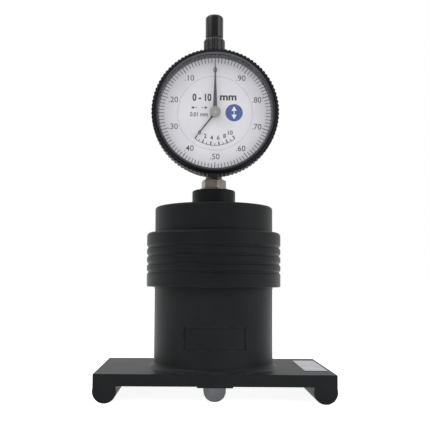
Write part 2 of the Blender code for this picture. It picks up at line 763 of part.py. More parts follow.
def top_cover():
    cover = turned(
        "top_cover",
        [
            (NECK_BORE_RADIUS, NECK_TOP),
            (NECK_RADIUS, NECK_TOP, NECK_ROUND),
            (NECK_RADIUS, COVER_TOP),
            (COVER_RADIUS, COVER_TOP, COVER_ROUND),
            (COVER_RADIUS, COVER_BOTTOM),
            (TUBE_BORE, COVER_BOTTOM),
            (TUBE_BORE, COVER_TOP - COVER_ROOF),
            (STEM_RADIUS + 2 * SEAT_GAP, COVER_TOP - COVER_ROOF),
            (STEM_RADIUS + 2 * SEAT_GAP, NECK_TAPER_BOTTOM),
            (NECK_BORE_RADIUS, NECK_TAPER_TOP),
        ],
        closed=True,
    )
    finish(cover, "black_enamel")


def flanged_bush(name, low, flange, slot):
    """A bush that guides the rod, with its flange above the piece that holds it."""
    bush = turned(
        name,
        [
            (ROD_RADIUS + RUNNING_GAP, flange + BUSH_FLANGE_THICKNESS),
            (BUSH_FLANGE_RADIUS - BUSH_EDGE, flange + BUSH_FLANGE_THICKNESS),
            (BUSH_FLANGE_RADIUS, flange + BUSH_FLANGE_THICKNESS - BUSH_EDGE),
            (BUSH_FLANGE_RADIUS, flange),
            (BUSH_RADIUS, flange),
            (BUSH_RADIUS, low),
            (ROD_RADIUS + RUNNING_GAP, low),
        ],
        closed=True,
        segments=ROD_SEGMENTS,
    )
    finish(bush, slot)


def spring_adjuster():
    plug = turned(
        "spring_adjuster",
        [
            (BUSH_RADIUS + SEAT_GAP, ADJUSTER_TOP),
            (TUBE_BORE - SEAT_GAP - ADJUSTER_EDGE, ADJUSTER_TOP),
            (TUBE_BORE - SEAT_GAP, ADJUSTER_TOP - ADJUSTER_EDGE),
            (TUBE_BORE - SEAT_GAP, ADJUSTER_BOTTOM),
            (BUSH_RADIUS + SEAT_GAP, ADJUSTER_BOTTOM),
        ],
        closed=True,
        segments=PLATE_SEGMENTS,
    )
    for side in (-1, 1):
        low, high = ADJUSTER_BOTTOM - CUT_OVERRUN, ADJUSTER_TOP + CUT_OVERRUN
        place = (side * SPANNER_HOLE_OFFSET, 0, 0)
        cut_cylinder(plug, SPANNER_HOLE_RADIUS, low, high, place=place, segments=PIN_SEGMENTS)
    finish(plug, "ground_aluminium")
    low = ADJUSTER_TOP + SEAT_GAP
    profile = ring_profile(LOCK_RING_BORE, TUBE_BORE - SEAT_GAP, low, low + LOCK_RING_THICKNESS)
    finish(turned("adjuster_lock_ring", profile, closed=True, segments=PLATE_SEGMENTS), "spring_steel")


def main_spring():
    inset = SEAT_GAP + SPRING_WIRE_RADIUS
    ends = (SEAT_TOP + inset, ADJUSTER_BOTTOM - inset)
    points = coil_points(SPRING_RADIUS, SPRING_LOOPS, SPRING_LOOP_POINTS, *ends)
    gap = least_coil_gap(points, SPRING_WIRE_RADIUS, SPRING_LOOP_POINTS)
    print("main spring, least gap to itself in mm:", round(gap * MM_PER_METRE, 3))
    finish(wire_piece("main_spring", points, SPRING_WIRE_RADIUS), "spring_steel")


def housing():
    base_plate()
    base_screws()
    body_tube()
    grip_ring()
    top_cover()
    flanged_bush("lower_guide_bush", PAD_BOTTOM + SEAT_GAP, LOWER_BUSH_FLANGE, "bronze")
    flanged_bush("upper_guide_bush", ADJUSTER_BOTTOM, ADJUSTER_TOP + SEAT_GAP, "bronze")
    spring_adjuster()
    main_spring()


def measuring_bar(parent):
    half_depth = BASE_DEPTH / 2 - BAR_SETBACK
    outline = half_round(0, BAR_WIDTH / 2, BAR_WIDTH / 2, BAR_FACETS)
    outline = [(BAR_WIDTH / 2, BAR_TOP)] + outline + [(-BAR_WIDTH / 2, BAR_TOP)]
    turn = (math.pi / 2, 0, 0)
    bar = flat_piece("measuring_bar", [outline], -half_depth, half_depth, parent=parent, turn=turn)
    bevel(bar, BAR_EDGE_BREAK)
    floor = BAR_TOP - ROD_STUD_DEPTH - SEAT_GAP
    high = BAR_TOP + CUT_OVERRUN
    cut_cylinder(bar, ROD_STUD_RADIUS + RUNNING_GAP, floor, high)
    for y in guide_pin_places().values():
        small = {"place": (0, y, 0), "segments": PIN_SEGMENTS}
        cut_cylinder(bar, GUIDE_PIN_RADIUS + RUNNING_GAP, floor, high, **small)
    finish(bar, "ground_aluminium")


def plunger_rod(parent):
    shoulder = BAR_TOP + SEAT_GAP
    hole_floor = ROD_TOP - ANVIL_SHANK_LENGTH - SEAT_GAP
    rod = turned(
        "plunger_rod",
        [
            (0, hole_floor),
            (ANVIL_SHANK_RADIUS + RUNNING_GAP, hole_floor),
            (ANVIL_SHANK_RADIUS + RUNNING_GAP, ROD_TOP),
            (ROD_RADIUS, ROD_TOP),
            (ROD_RADIUS, shoulder),
            (ROD_STUD_RADIUS, shoulder),
            (ROD_STUD_RADIUS, BAR_TOP - ROD_STUD_DEPTH),
            (0, BAR_TOP - ROD_STUD_DEPTH),
        ],
        segments=ROD_SEGMENTS,
        parent=parent,
    )
    reach = SEAT_PIN_LENGTH
    middle = (SEAT_BOTTOM + SEAT_TOP) / 2
    across = {"place": (0, 0, middle), "turn": (0, math.pi / 2, 0), "parent": parent}
    across["segments"] = PIN_SEGMENTS
    cut_cylinder(rod, SEAT_PIN_RADIUS + RUNNING_GAP, -reach, reach, **across)
    finish(rod, "bright_steel")
    seat = turned(
        "spring_seat",
        ring_profile(ROD_RADIUS + RUNNING_GAP, SEAT_RADIUS, SEAT_BOTTOM, SEAT_TOP),
        closed=True,
        segments=ROD_SEGMENTS,
        parent=parent,
    )
    cut_cylinder(seat, SEAT_PIN_RADIUS + RUNNING_GAP, -reach, reach, **across)
    finish(seat, "bright_steel")
    half = SEAT_PIN_LENGTH / 2
    finish(turned("seat_pin", rod_profile(SEAT_PIN_RADIUS, -half, half), **across), "spring_steel")
    low = ROD_TOP + SEAT_GAP
    anvil = turned(
        "rod_anvil",
        [
            (0, low + ANVIL_HEIGHT),
            (ROD_RADIUS, low + ANVIL_HEIGHT, ANVIL_ROUND),
            (ROD_RADIUS, low),
            (ANVIL_SHANK_RADIUS, low),
            (ANVIL_SHANK_RADIUS, ROD_TOP - ANVIL_SHANK_LENGTH),
            (0, ROD_TOP - ANVIL_SHANK_LENGTH),
        ],
        segments=ROD_SEGMENTS,
        parent=parent,
    )
    finish(anvil, "bright_steel")


def guide_pins(parent):
    """Pins pressed into the bar, long enough to stay in the base plate over the whole travel."""
    for name, y in guide_pin_places().items():
        profile = rod_profile(GUIDE_PIN_RADIUS, BAR_TOP - ROD_STUD_DEPTH, PLATE_TOP + GUIDE_PIN_REACH)
        finish(turned(name, profile, segments=PIN_SEGMENTS, parent=parent, place=(0, y, 0)), "spring_steel")


def plunger():
    axis = frame_empty("plunger_axis")
    measuring_bar(axis)
    plunger_rod(axis)
    guide_pins(axis)


def clamp_nut():
    """The hex nut that presses the collet down on the stem: shank, flange and chamfered hexagon in one."""
    shank = NECK_BORE_RADIUS - SEAT_GAP
    hex_low = NUT_SEAT + NUT_FLANGE_THICKNESS
    hex_top = hex_low + NUT_HEX_HEIGHT
    corner = NUT_FLATS / math.sqrt(3)
    nut = turned(
        "stem_clamp_nut",
        [
            (0, hex_top),
            (NUT_FLATS / 2, hex_top),
            (corner, hex_top - NUT_CHAMFER),
            (corner, hex_low),
            (NUT_FLANGE_RADIUS, hex_low),
            (NUT_FLANGE_RADIUS, NUT_SEAT),
            (shank, NUT_SEAT),
            (shank, COLLET_TOP + SEAT_GAP),
            (0, COLLET_TOP + SEAT_GAP),
        ],
        segments=ROD_SEGMENTS,
    )
    hexagon = [(-y, x) for x, y in circle(corner, NUT_SIDES)]
    wide = circle(NUT_FLANGE_RADIUS + CUT_OVERRUN, ROD_SEGMENTS)
    flats = flat_piece("nut_flats_cutter", [wide, hexagon], hex_low, hex_top + CUT_OVERRUN, group=cutters)
    boolean(nut, flats)
    cut_cylinder(nut, STEM_RADIUS + RUNNING_GAP, COLLET_TOP, hex_top + CUT_OVERRUN)
    finish(nut, "bright_steel")


def stem_collet():
    collet = turned(
        "stem_collet",
        [
            (STEM_RADIUS + RUNNING_GAP, COLLET_TOP),
            (NECK_BORE_RADIUS - SEAT_GAP, COLLET_TOP),
            (NECK_BORE_RADIUS - SEAT_GAP, NECK_TAPER_TOP + SEAT_GAP),
            (STEM_RADIUS + 2 * SEAT_GAP, NECK_TAPER_BOTTOM + SEAT_GAP),
            (STEM_RADIUS + RUNNING_GAP, NECK_TAPER_BOTTOM + SEAT_GAP),
        ],
        closed=True,
        segments=ROD_SEGMENTS,
    )
    slit = box_tool(
        "collet_slit_cutter",
        (-COLLET_SLIT / 2, 0, NECK_TAPER_BOTTOM - CUT_OVERRUN),
        (COLLET_SLIT / 2, NECK_RADIUS, COLLET_TOP + CUT_OVERRUN),
    )
    finish(boolean(collet, slit), "brass")


def gauge_stem():
    stem = turned(
        "gauge_stem",
        [
            (SPINDLE_RADIUS + RUNNING_GAP, STEM_TOP),
            (STEM_RADIUS, STEM_TOP),
            (STEM_RADIUS, STEM_BOTTOM + STEM_EDGE),
            (STEM_RADIUS - STEM_EDGE, STEM_BOTTOM),
            (SPINDLE_RADIUS + RUNNING_GAP, STEM_BOTTOM),
        ],
        closed=True,
        segments=ROD_SEGMENTS,
    )
    finish(stem, "bright_steel")


def gauge_case(dial_frame):
    case = turned(
        "gauge_case",
        [
            (CASE_BORE, CASE_FRONT),
            (CASE_RADIUS, CASE_FRONT),
            (CASE_RADIUS, CASE_BACK + CASE_EDGE),
            (CASE_RADIUS - CASE_EDGE, CASE_BACK),
            (CASE_BORE, CASE_BACK),
        ],
        closed=True,
        segments=DIAL_SEGMENTS,
        parent=dial_frame,
    )
    cut_cylinder(case, STEM_RADIUS + RUNNING_GAP, DIAL_CENTRE - CASE_RADIUS - CUT_OVERRUN, DIAL_CENTRE)
    cut_cylinder(case, BOSS_SHANK_RADIUS + SEAT_GAP, DIAL_CENTRE, DIAL_CENTRE + CASE_RADIUS + CUT_OVERRUN)
    for place in back_screw_places():
        low, high = CASE_BACK - CUT_OVERRUN, CASE_BACK + BACK_SCREW_LENGTH
        small = {"place": place, "parent": dial_frame, "segments": PIN_SEGMENTS}
        cut_cylinder(case, BACK_SCREW_RADIUS + RUNNING_GAP, low, high, **small)
    finish(case, "black_anodised")


def back_screw_places():
    circle_radius = (CASE_RADIUS + CASE_BORE) / 2
    angles = [math.radians(angle) for angle in BACK_SCREW_ANGLES_DEG]
    return [(circle_radius * math.cos(a), circle_radius * math.sin(a), 0) for a in angles]


def back_cover(dial_frame):
    front = CASE_BACK - SEAT_GAP
    back = front - BACK_COVER_THICKNESS
    cover = turned(
        "back_cover",
        [
            (0, front + BACK_SPIGOT_DEPTH),
            (CASE_BORE - SEAT_GAP, front + BACK_SPIGOT_DEPTH),
            (CASE_BORE - SEAT_GAP, front),
            (CASE_RADIUS, front),
            (CASE_RADIUS, back, BACK_COVER_ROUND),
            (0, back),
        ],
        segments=DIAL_SEGMENTS,
        parent=dial_frame,
    )
    head = back - SEAT_GAP
    for k, place in enumerate(back_screw_places()):
        cut_cylinder(
            cover,
            BACK_SCREW_RADIUS + RUNNING_GAP,
            back - CUT_OVERRUN,
            front + CUT_OVERRUN,
            place=place,
            parent=dial_frame,
            segments=PIN_SEGMENTS,
        )
        screw = turned(
            "back_cover_screw_" + str(k + 1),
            [
                (0, head + BACK_SCREW_LENGTH),
                (BACK_SCREW_RADIUS, head + BACK_SCREW_LENGTH),
                (BACK_SCREW_RADIUS, head),
                (BACK_SCREW_HEAD_RADIUS, head),
                (BACK_SCREW_HEAD_RADIUS, head - BACK_SCREW_HEAD_HEIGHT),
                (0, head - BACK_SCREW_HEAD_HEIGHT),
            ],
            segments=PIN_SEGMENTS,
            parent=dial_frame,
            place=place,
        )
        finish(screw, "bright_steel")
    finish(cover, "black_anodised")


def bezel(parent):
    """The bezel: a turned ring joined with a band of coin-edge knurls."""
    body = BEZEL_RADIUS - KNURL_DEPTH
    ring = turned(
        "bezel",
        [
            (BEZEL_LIP_RADIUS, BEZEL_FRONT),
            (BEZEL_FACE_RADIUS, BEZEL_FRONT),
            (body, KNURL_FRONT),
            (body, KNURL_BACK),
            (BEZEL_SHOULDER_RADIUS, BEZEL_BACK),
            (BEZEL_BORE, BEZEL_BACK),
            (BEZEL_BORE, DIAL_BACK + DIAL_THICKNESS + SEAT_GAP),
            (BEZEL_LIP_RADIUS, DIAL_BACK + DIAL_THICKNESS + SEAT_GAP),
            (BEZEL_LIP_RADIUS, CRYSTAL_BACK - SEAT_GAP),
            (CRYSTAL_RADIUS + SEAT_GAP, CRYSTAL_BACK - SEAT_GAP),
            (CRYSTAL_RADIUS + SEAT_GAP, CRYSTAL_BACK + CRYSTAL_THICKNESS + SEAT_GAP / 2),
            (BEZEL_LIP_RADIUS, CRYSTAL_BACK + CRYSTAL_THICKNESS + SEAT_GAP / 2),
        ],
        closed=True,
        segments=DIAL_SEGMENTS,
        parent=parent,
    )
    teeth = star_outline(KNURL_COUNT, BEZEL_RADIUS, BEZEL_RADIUS - 2 * KNURL_DEPTH)
    inner = circle((BEZEL_BORE + body) / 2, DIAL_SEGMENTS)
    band = flat_piece("knurled_band", [teeth, inner], KNURL_BACK, KNURL_FRONT, parent=parent, group=cutters)
    boolean(ring, band, "UNION")
    finish(ring, "black_anodised")


def bezel_group(dial_frame):
    axis = frame_empty("bezel_axis", parent=dial_frame)
    bezel(axis)
    glass = ring_profile(0, CRYSTAL_RADIUS, CRYSTAL_BACK, CRYSTAL_BACK + CRYSTAL_THICKNESS)
    finish(turned("crystal", glass, segments=DIAL_SEGMENTS, parent=axis), "clear_glass")
    dial = ring_profile(DIAL_HOLE_RADIUS, DIAL_RADIUS, DIAL_BACK, DIAL_BACK + DIAL_THICKNESS)
    dial = turned("dial_face", dial, closed=True, segments=PLATE_SEGMENTS, parent=axis)
    finish(dial, "dial_white")
    back = DIAL_BACK - SEAT_GAP - DIAL_RING_THICKNESS
    ring = ring_profile(DIAL_RING_BORE, DIAL_RADIUS, back, back + DIAL_RING_THICKNESS)
    ring = turned("dial_retaining_ring", ring, closed=True, segments=PLATE_SEGMENTS, parent=axis)
    finish(ring, "spring_steel")


def cap_boss():
    """The fluted boss on the case: shank, collar, chamfer and the cap's spigot, bored for the spindle."""
    inner_end = DIAL_CENTRE + CASE_BORE - CASE_EDGE
    bore = SPINDLE_RADIUS + RUNNING_GAP
    boss = turned(
        "cap_boss",
        [
            (bore, BOSS_SHOULDER + BOSS_SPIGOT_HEIGHT),
            (BOSS_SPIGOT_RADIUS, BOSS_SHOULDER + BOSS_SPIGOT_HEIGHT),
            (BOSS_SPIGOT_RADIUS, BOSS_SHOULDER),
            (CAP_RADIUS, BOSS_SHOULDER),
            (BOSS_RADIUS, BOSS_TOP),
            (BOSS_RADIUS, BOSS_BOTTOM),
            (BOSS_SHANK_RADIUS, BOSS_BOTTOM),
            (BOSS_SHANK_RADIUS, inner_end),
            (bore, inner_end),
        ],
        closed=True,
        segments=2 * BOSS_FLUTES,
    )
    star = star_outline(BOSS_FLUTES, BOSS_RADIUS - BOSS_FLUTE_DEPTH, BOSS_RADIUS + CUT_OVERRUN)
    wide = circle(BOSS_RADIUS + 2 * CUT_OVERRUN, ROD_SEGMENTS)
    flutes = flat_piece("flutes_cutter", [wide, star], BOSS_BOTTOM - CUT_OVERRUN, BOSS_TOP, group=cutters)
    finish(boolean(boss, flutes), "black_anodised")


def dust_cap():
    cavity = CAP_RADIUS - CAP_WALL
    cap = turned(
        "dust_cap",
        [
            (0, CAP_TOP),
            (CAP_RADIUS, CAP_TOP, CAP_ROUND),
            (CAP_RADIUS, CAP_BOTTOM),
            (cavity, CAP_BOTTOM),
            (cavity, CAP_TOP - CAP_ROOF),
            (0, CAP_TOP - CAP_ROOF),
        ],
        segments=ROD_SEGMENTS,
    )
    finish(cap, "black_anodised")


def movement_plate(name, front, thickness, holes, dial_frame):
    """A round plate of the movement. Each hole is (x, height from the dial's centre, radius)."""
    loops = [circle(CASE_BORE - PLATE_MARGIN, PLATE_SEGMENTS)]
    loops += [circle(radius, PIN_SEGMENTS, (x, y)) for x, y, radius in holes]
    finish(flat_piece(name, loops, front - thickness, front, parent=dial_frame), "brass")


def pillar_places():
    angles = [math.radians(angle) for angle in PILLAR_ANGLES_DEG]
    return [(PILLAR_CIRCLE_RADIUS * math.cos(a), PILLAR_CIRCLE_RADIUS * math.sin(a)) for a in angles]


def movement_plates(dial_frame):
    pivot = ARBOR_RADIUS + RUNNING_GAP
    drive_hole = (RACK_ARBOR_X, -RACK_ARBOR_DROP, pivot)
    takeup_hole = (-RACK_ARBOR_X, RACK_ARBOR_DROP, pivot)
    centre_hole = (0, 0, CENTRE_ARBOR_RADIUS + RUNNING_GAP)
    sleeve_hole = (0, 0, SLEEVE_RADIUS + RUNNING_GAP)
    pillars = [(x, y, PILLAR_RADIUS + RUNNING_GAP) for x, y in pillar_places()]
    movement_plate("rear_plate", REAR_PLATE_FRONT, REAR_PLATE_THICKNESS, [drive_hole] + pillars, dial_frame)
    middle = [drive_hole, takeup_hole, centre_hole] + pillars
    movement_plate("middle_plate", MIDDLE_PLATE_FRONT, MIDDLE_PLATE_THICKNESS, middle, dial_frame)
    front = [drive_hole, takeup_hole, sleeve_hole] + pillars
    movement_plate("front_plate", FRONT_PLATE_FRONT, FRONT_PLATE_THICKNESS, front, dial_frame)
    low = REAR_PLATE_FRONT - REAR_PLATE_THICKNESS
    for k, (x, y) in enumerate(pillar_places()):
        pillar = turned(
            "plate_pillar_" + str(k + 1),
            rod_profile(PILLAR_RADIUS, low, FRONT_PLATE_FRONT),
            segments=PIN_SEGMENTS,
            parent=dial_frame,
            place=(x, y, 0),
        )
        finish(pillar, "brass")


def spindle():
    axis = frame_empty("spindle_axis")
    profile = rod_profile(SPINDLE_RADIUS, SPINDLE_BOTTOM, SPINDLE_TOP)
    rod = turned("spindle", profile, segments=ROD_SEGMENTS, parent=axis)
    boolean(rod, rack_cutter(axis))
    across = {"place": (0, 0, SPINDLE_PIN_Z), "turn": (0, math.pi / 2, 0), "parent": axis}
    across["segments"] = PIN_SEGMENTS
    hole_floor = SPINDLE_RADIUS - SPINDLE_PIN_DEPTH - SEAT_GAP
    cut_cylinder(rod, SPINDLE_PIN_RADIUS + RUNNING_GAP, hole_floor, SPINDLE_RADIUS + CUT_OVERRUN, **across)
    finish(rod, "bright_steel")
    pin = rod_profile(SPINDLE_PIN_RADIUS, SPINDLE_RADIUS - SPINDLE_PIN_DEPTH, PIN_RUN_END)
    finish(turned("spindle_pin", pin, **across), "spring_steel")
    high = SPINDLE_BOTTOM - SEAT_GAP
    neck = CONTACT_TIP + CONTACT_BALL_RADIUS
    point = turned(
        "contact_point",
        [
            (0, high),
            (SPINDLE_RADIUS, high),
            (SPINDLE_RADIUS, neck + CONTACT_CONE_HEIGHT),
            (CONTACT_BALL_RADIUS, neck),
            (CONTACT_BALL_RADIUS, CONTACT_TIP, CONTACT_ROUND),
            (0, CONTACT_TIP),
        ],
        segments=ROD_SEGMENTS,
        parent=axis,
    )
    finish(point, "bright_steel")


def spindle_guide(dial_frame):
    """The slotted bar that keeps the spindle's pin upright, and the return spring on its anchor pin."""
    back = REAR_PLATE_FRONT + SEAT_GAP
    front = back + GUIDE_BAR_DEPTH
    high = SPINDLE_PIN_RADIUS + SEAT_GAP
    low = -high - TRAVEL
    bar_top = (GUIDE_BAR_HEIGHT + low + high) / 2
    outline = [
        (GUIDE_BAR_X, bar_top),
        (GUIDE_BAR_X, bar_top - GUIDE_BAR_HEIGHT),
        (GUIDE_BAR_X + GUIDE_BAR_THICKNESS, bar_top - GUIDE_BAR_HEIGHT),
        (GUIDE_BAR_X + GUIDE_BAR_THICKNESS, bar_top),
    ]
    guide = frame_empty("guide_frame", place=(0, -SPINDLE_PIN_DROP, 0), parent=dial_frame)
    bar = flat_piece("guide_slot_bar", [outline], back, front, parent=guide)
    slot = box_tool(
        "guide_slot_cutter",
        (0, low, -SPINDLE_PIN_RADIUS - RUNNING_GAP),
        (PIN_RUN_END, high, SPINDLE_PIN_RADIUS + RUNNING_GAP),
        parent=guide,
    )
    finish(boolean(bar, slot), "brass")
    anchor = turned(
        "spring_anchor_pin",
        rod_profile(ANCHOR_PIN_RADIUS, back, RETURN_SPRING_RADIUS),
        segments=PIN_SEGMENTS,
        parent=dial_frame,
        place=(RETURN_SPRING_X, -ANCHOR_PIN_DROP, 0),
    )
    finish(anchor, "spring_steel")
    inset = SEAT_GAP + RETURN_SPRING_WIRE_RADIUS
    low_end = ANCHOR_PIN_Z + ANCHOR_PIN_RADIUS + inset
    high_end = SPINDLE_PIN_Z - SPINDLE_PIN_RADIUS - inset
    shape = (RETURN_SPRING_RADIUS, RETURN_SPRING_LOOPS, RETURN_SPRING_LOOP_POINTS)
    points = coil_points(*shape, low_end, high_end)
    gap = least_coil_gap(points, RETURN_SPRING_WIRE_RADIUS, RETURN_SPRING_LOOP_POINTS)
    print("return spring, least gap to itself in mm:", round(gap * MM_PER_METRE, 3))
    spring = wire_piece("return_spring", points, RETURN_SPRING_WIRE_RADIUS, place=(RETURN_SPRING_X, 0, 0))
    finish(spring, "spring_steel")


def gear(name, outline, bore, front, thickness, parent):
    loops = [outline, circle(bore, PIN_SEGMENTS)]
    finish(flat_piece(name, loops, front - thickness, front, parent=parent), "brass")


def toothed_arbor(name, radius, ends, outline, face, parent):
    """An arbor with a pinion cut in one piece with it."""
    arbor = turned(name, rod_profile(radius, *ends), segments=PIN_SEGMENTS, parent=parent)
    pinion = flat_piece(name + "_teeth", [outline], *face, parent=parent, group=cutters)
    boolean(arbor, pinion, "UNION")
    finish(arbor, "bright_steel")


def drive_group(dial_frame):
    """The arbor that the rack turns, with the drive wheel and the counter pinion."""
    axis = frame_empty("rack_pinion_axis", (RACK_ARBOR_X, -RACK_ARBOR_DROP, 0), parent=dial_frame)
    half = RACK_PINION_LENGTH / 2
    ends = (REAR_PLATE_FRONT - REAR_PLATE_THICKNESS - SEAT_GAP, FRONT_PLATE_FRONT + SEAT_GAP)
    teeth = pinion_outline(RACK_PINION_TEETH, RACK_MODULE, math.pi / RACK_PINION_TEETH)
    toothed_arbor("rack_pinion_arbor", ARBOR_RADIUS, ends, teeth, (-half, half), axis)
    bore = ARBOR_RADIUS + RUNNING_GAP
    teeth = wheel_outline(WHEEL_TEETH, FINE_MODULE, MESH_ANGLE)
    gear("drive_wheel", teeth, bore, WHEEL_FRONT, WHEEL_THICKNESS, axis)
    phase = MESH_ANGLE + math.pi / COUNTER_PINION_TEETH
    teeth = pinion_outline(COUNTER_PINION_TEETH, COUNTER_MODULE, phase)
    front = COUNTER_WHEEL_FRONT + (COUNTER_PINION_LENGTH - COUNTER_WHEEL_THICKNESS) / 2
    gear("counter_pinion", teeth, bore, front, COUNTER_PINION_LENGTH, axis)


def takeup_group(dial_frame):
    """The second wheel on the centre pinion, which the hairspring holds against the play of the teeth."""
    axis = frame_empty("takeup_axis", (-RACK_ARBOR_X, RACK_ARBOR_DROP, 0), parent=dial_frame)
    back = MIDDLE_PLATE_FRONT - MIDDLE_PLATE_THICKNESS - SEAT_GAP
    arbor = rod_profile(ARBOR_RADIUS, back, FRONT_PLATE_FRONT + SEAT_GAP)
    finish(turned("takeup_arbor", arbor, segments=PIN_SEGMENTS, parent=axis), "bright_steel")
    teeth = wheel_outline(WHEEL_TEETH, FINE_MODULE, MESH_ANGLE + math.pi)
    gear("takeup_wheel", teeth, ARBOR_RADIUS + RUNNING_GAP, WHEEL_FRONT, WHEEL_THICKNESS, axis)


def hairspring(dial_frame):
    """A flat spiral ribbon round the take-up arbor."""
    count = HAIRSPRING_TURNS * HAIRSPRING_TURN_POINTS
    start = ARBOR_RADIUS + SEAT_GAP
    inner, outer = [], []
    for k in range(count + 1):
        angle = 2 * math.pi * k / HAIRSPRING_TURN_POINTS
        radius = start + HAIRSPRING_PITCH * k / HAIRSPRING_TURN_POINTS
        inner.append((radius * math.cos(angle), radius * math.sin(angle)))
        radius += HAIRSPRING_WALL
        outer.append((radius * math.cos(angle), radius * math.sin(angle)))
    back = HAIRSPRING_FRONT - HAIRSPRING_WIDTH
    place = (-RACK_ARBOR_X, RACK_ARBOR_DROP, 0)
    where = {"parent": dial_frame, "place": place}
    ribbon = flat_piece("hairspring", [outer + inner[::-1]], back, HAIRSPRING_FRONT, **where)
    finish(ribbon, "spring_steel")


def centre_group(dial_frame):
    """The centre arbor with its pinion, and the pointer under its hub."""
    axis = frame_empty("pointer_axis", parent=dial_frame)
    ends = (MIDDLE_PLATE_FRONT - MIDDLE_PLATE_THICKNESS - SEAT_GAP, HUB_FRONT - HUB_ROUND)
    phase = MESH_ANGLE + math.pi + math.pi / CENTRE_PINION_TEETH
    teeth = pinion_outline(CENTRE_PINION_TEETH, FINE_MODULE, phase)
    face = (CENTRE_PINION_FRONT - CENTRE_PINION_LENGTH, CENTRE_PINION_FRONT)
    toothed_arbor("centre_arbor", CENTRE_ARBOR_RADIUS, ends, teeth, face, axis)
    bore = circle(CENTRE_ARBOR_RADIUS + RUNNING_GAP, PIN_SEGMENTS)
    boss = HUB_RADIUS - HUB_ROUND
    outline = hand_outline(POINTER_LENGTH, POINTER_ROOT_WIDTH, POINTER_TIP_WIDTH, boss, math.pi / 2)
    hand = flat_piece("pointer", [outline, bore], POINTER_BACK, POINTER_BACK + HAND_THICKNESS, parent=axis)
    finish(hand, "spring_steel")
    hub = turned(
        "pointer_hub",
        [
            (CENTRE_ARBOR_RADIUS + RUNNING_GAP, HUB_FRONT),
            (HUB_RADIUS, HUB_FRONT, HUB_ROUND),
            (HUB_RADIUS, HUB_BACK),
            (CENTRE_ARBOR_RADIUS + RUNNING_GAP, HUB_BACK),
        ],
        closed=True,
        segments=ROD_SEGMENTS,
        parent=axis,
    )
    finish(hub, "brass")


def hand_outline(length, root_width, tip_width, boss_radius, direction):
    """A hand that tapers from its round boss to its tip, pointing in the direction given."""
    half_root, half_tip = root_width / 2, tip_width / 2
    opening = math.asin(half_root / boss_radius)
    sweep = 2 * math.pi - 2 * opening
    steps = 2 * PIN_SEGMENTS
    shape = [(length, -half_tip), (length, half_tip)]
    for k in range(steps + 1):
        angle = opening + sweep * k / steps
        shape.append((boss_radius * math.cos(angle), boss_radius * math.sin(angle)))
    cos, sin = math.cos(direction), math.sin(direction)
    return [(x * cos - y * sin, x * sin + y * cos) for x, y in shape]


def counter_group(dial_frame):
    """The counter wheel on its sleeve, with the short hand at the sleeve's front end."""
    axis = frame_empty("counter_axis", parent=dial_frame)
    back = COUNTER_WHEEL_FRONT - COUNTER_WHEEL_THICKNESS
    sleeve_front = COUNTER_HAND_BACK + HAND_THICKNESS
    sleeve = turned(
        "counter_wheel",
        ring_profile(SLEEVE_BORE, SLEEVE_RADIUS, back - SEAT_GAP, sleeve_front),
        closed=True,
        segments=PIN_SEGMENTS,
        parent=axis,
    )
    outline = wheel_outline(COUNTER_WHEEL_TEETH, COUNTER_MODULE, MESH_ANGLE + math.pi)
    bore = circle((SLEEVE_BORE + SLEEVE_RADIUS) / 2, PIN_SEGMENTS)
    ends = (back, COUNTER_WHEEL_FRONT)
    wheel = flat_piece("counter_wheel_teeth", [outline, bore], *ends, parent=axis, group=cutters)
    finish(boolean(sleeve, wheel, "UNION"), "brass")
    direction = -math.pi / 2 - math.radians(COUNTER_ZERO_DEG)
    outline = hand_outline(
        COUNTER_HAND_LENGTH, COUNTER_HAND_WIDTH, POINTER_TIP_WIDTH, COUNTER_HAND_BOSS_RADIUS, direction
    )
    bore = circle(SLEEVE_RADIUS + RUNNING_GAP, PIN_SEGMENTS)
    hand = flat_piece("counter_hand", [outline, bore], COUNTER_HAND_BACK, sleeve_front, parent=axis)
    finish(hand, "hand_black")


def dial_gauge():
    dial_frame = frame_empty("dial_frame", (0, 0, DIAL_CENTRE), (math.pi / 2, 0, 0))
    gauge_stem()
    gauge_case(dial_frame)
    back_cover(dial_frame)
    cap_boss()
    dust_cap()
    bezel_group(dial_frame)
    movement_plates(dial_frame)
    spindle()
    spindle_guide(dial_frame)
    drive_group(dial_frame)
    takeup_group(dial_frame)
    hairspring(dial_frame)
    centre_group(dial_frame)
    counter_group(dial_frame)


clear_scene()
housing()
plunger()
clamp_nut()
stem_collet()
dial_gauge()
bpy.context.view_layer.update()
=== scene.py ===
from math import atan2, cos, degrees, hypot, pi, radians, sin, sqrt

import bmesh
import bpy
from mathutils import Matrix, Vector

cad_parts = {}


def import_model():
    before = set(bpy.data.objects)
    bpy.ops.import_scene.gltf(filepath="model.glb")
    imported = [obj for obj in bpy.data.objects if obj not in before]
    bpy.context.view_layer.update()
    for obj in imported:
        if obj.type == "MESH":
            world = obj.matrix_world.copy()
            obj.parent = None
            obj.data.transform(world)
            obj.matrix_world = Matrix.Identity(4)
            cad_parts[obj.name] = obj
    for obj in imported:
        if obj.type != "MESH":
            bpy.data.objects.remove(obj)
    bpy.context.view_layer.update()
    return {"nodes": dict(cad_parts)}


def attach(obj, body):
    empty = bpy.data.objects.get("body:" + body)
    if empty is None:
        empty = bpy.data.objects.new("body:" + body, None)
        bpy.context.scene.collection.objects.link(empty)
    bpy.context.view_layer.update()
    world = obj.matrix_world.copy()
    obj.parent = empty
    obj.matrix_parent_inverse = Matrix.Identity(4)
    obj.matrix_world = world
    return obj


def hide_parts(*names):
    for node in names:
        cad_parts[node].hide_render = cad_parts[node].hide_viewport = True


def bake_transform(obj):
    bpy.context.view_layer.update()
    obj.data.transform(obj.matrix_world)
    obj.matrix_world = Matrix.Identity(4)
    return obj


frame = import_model()

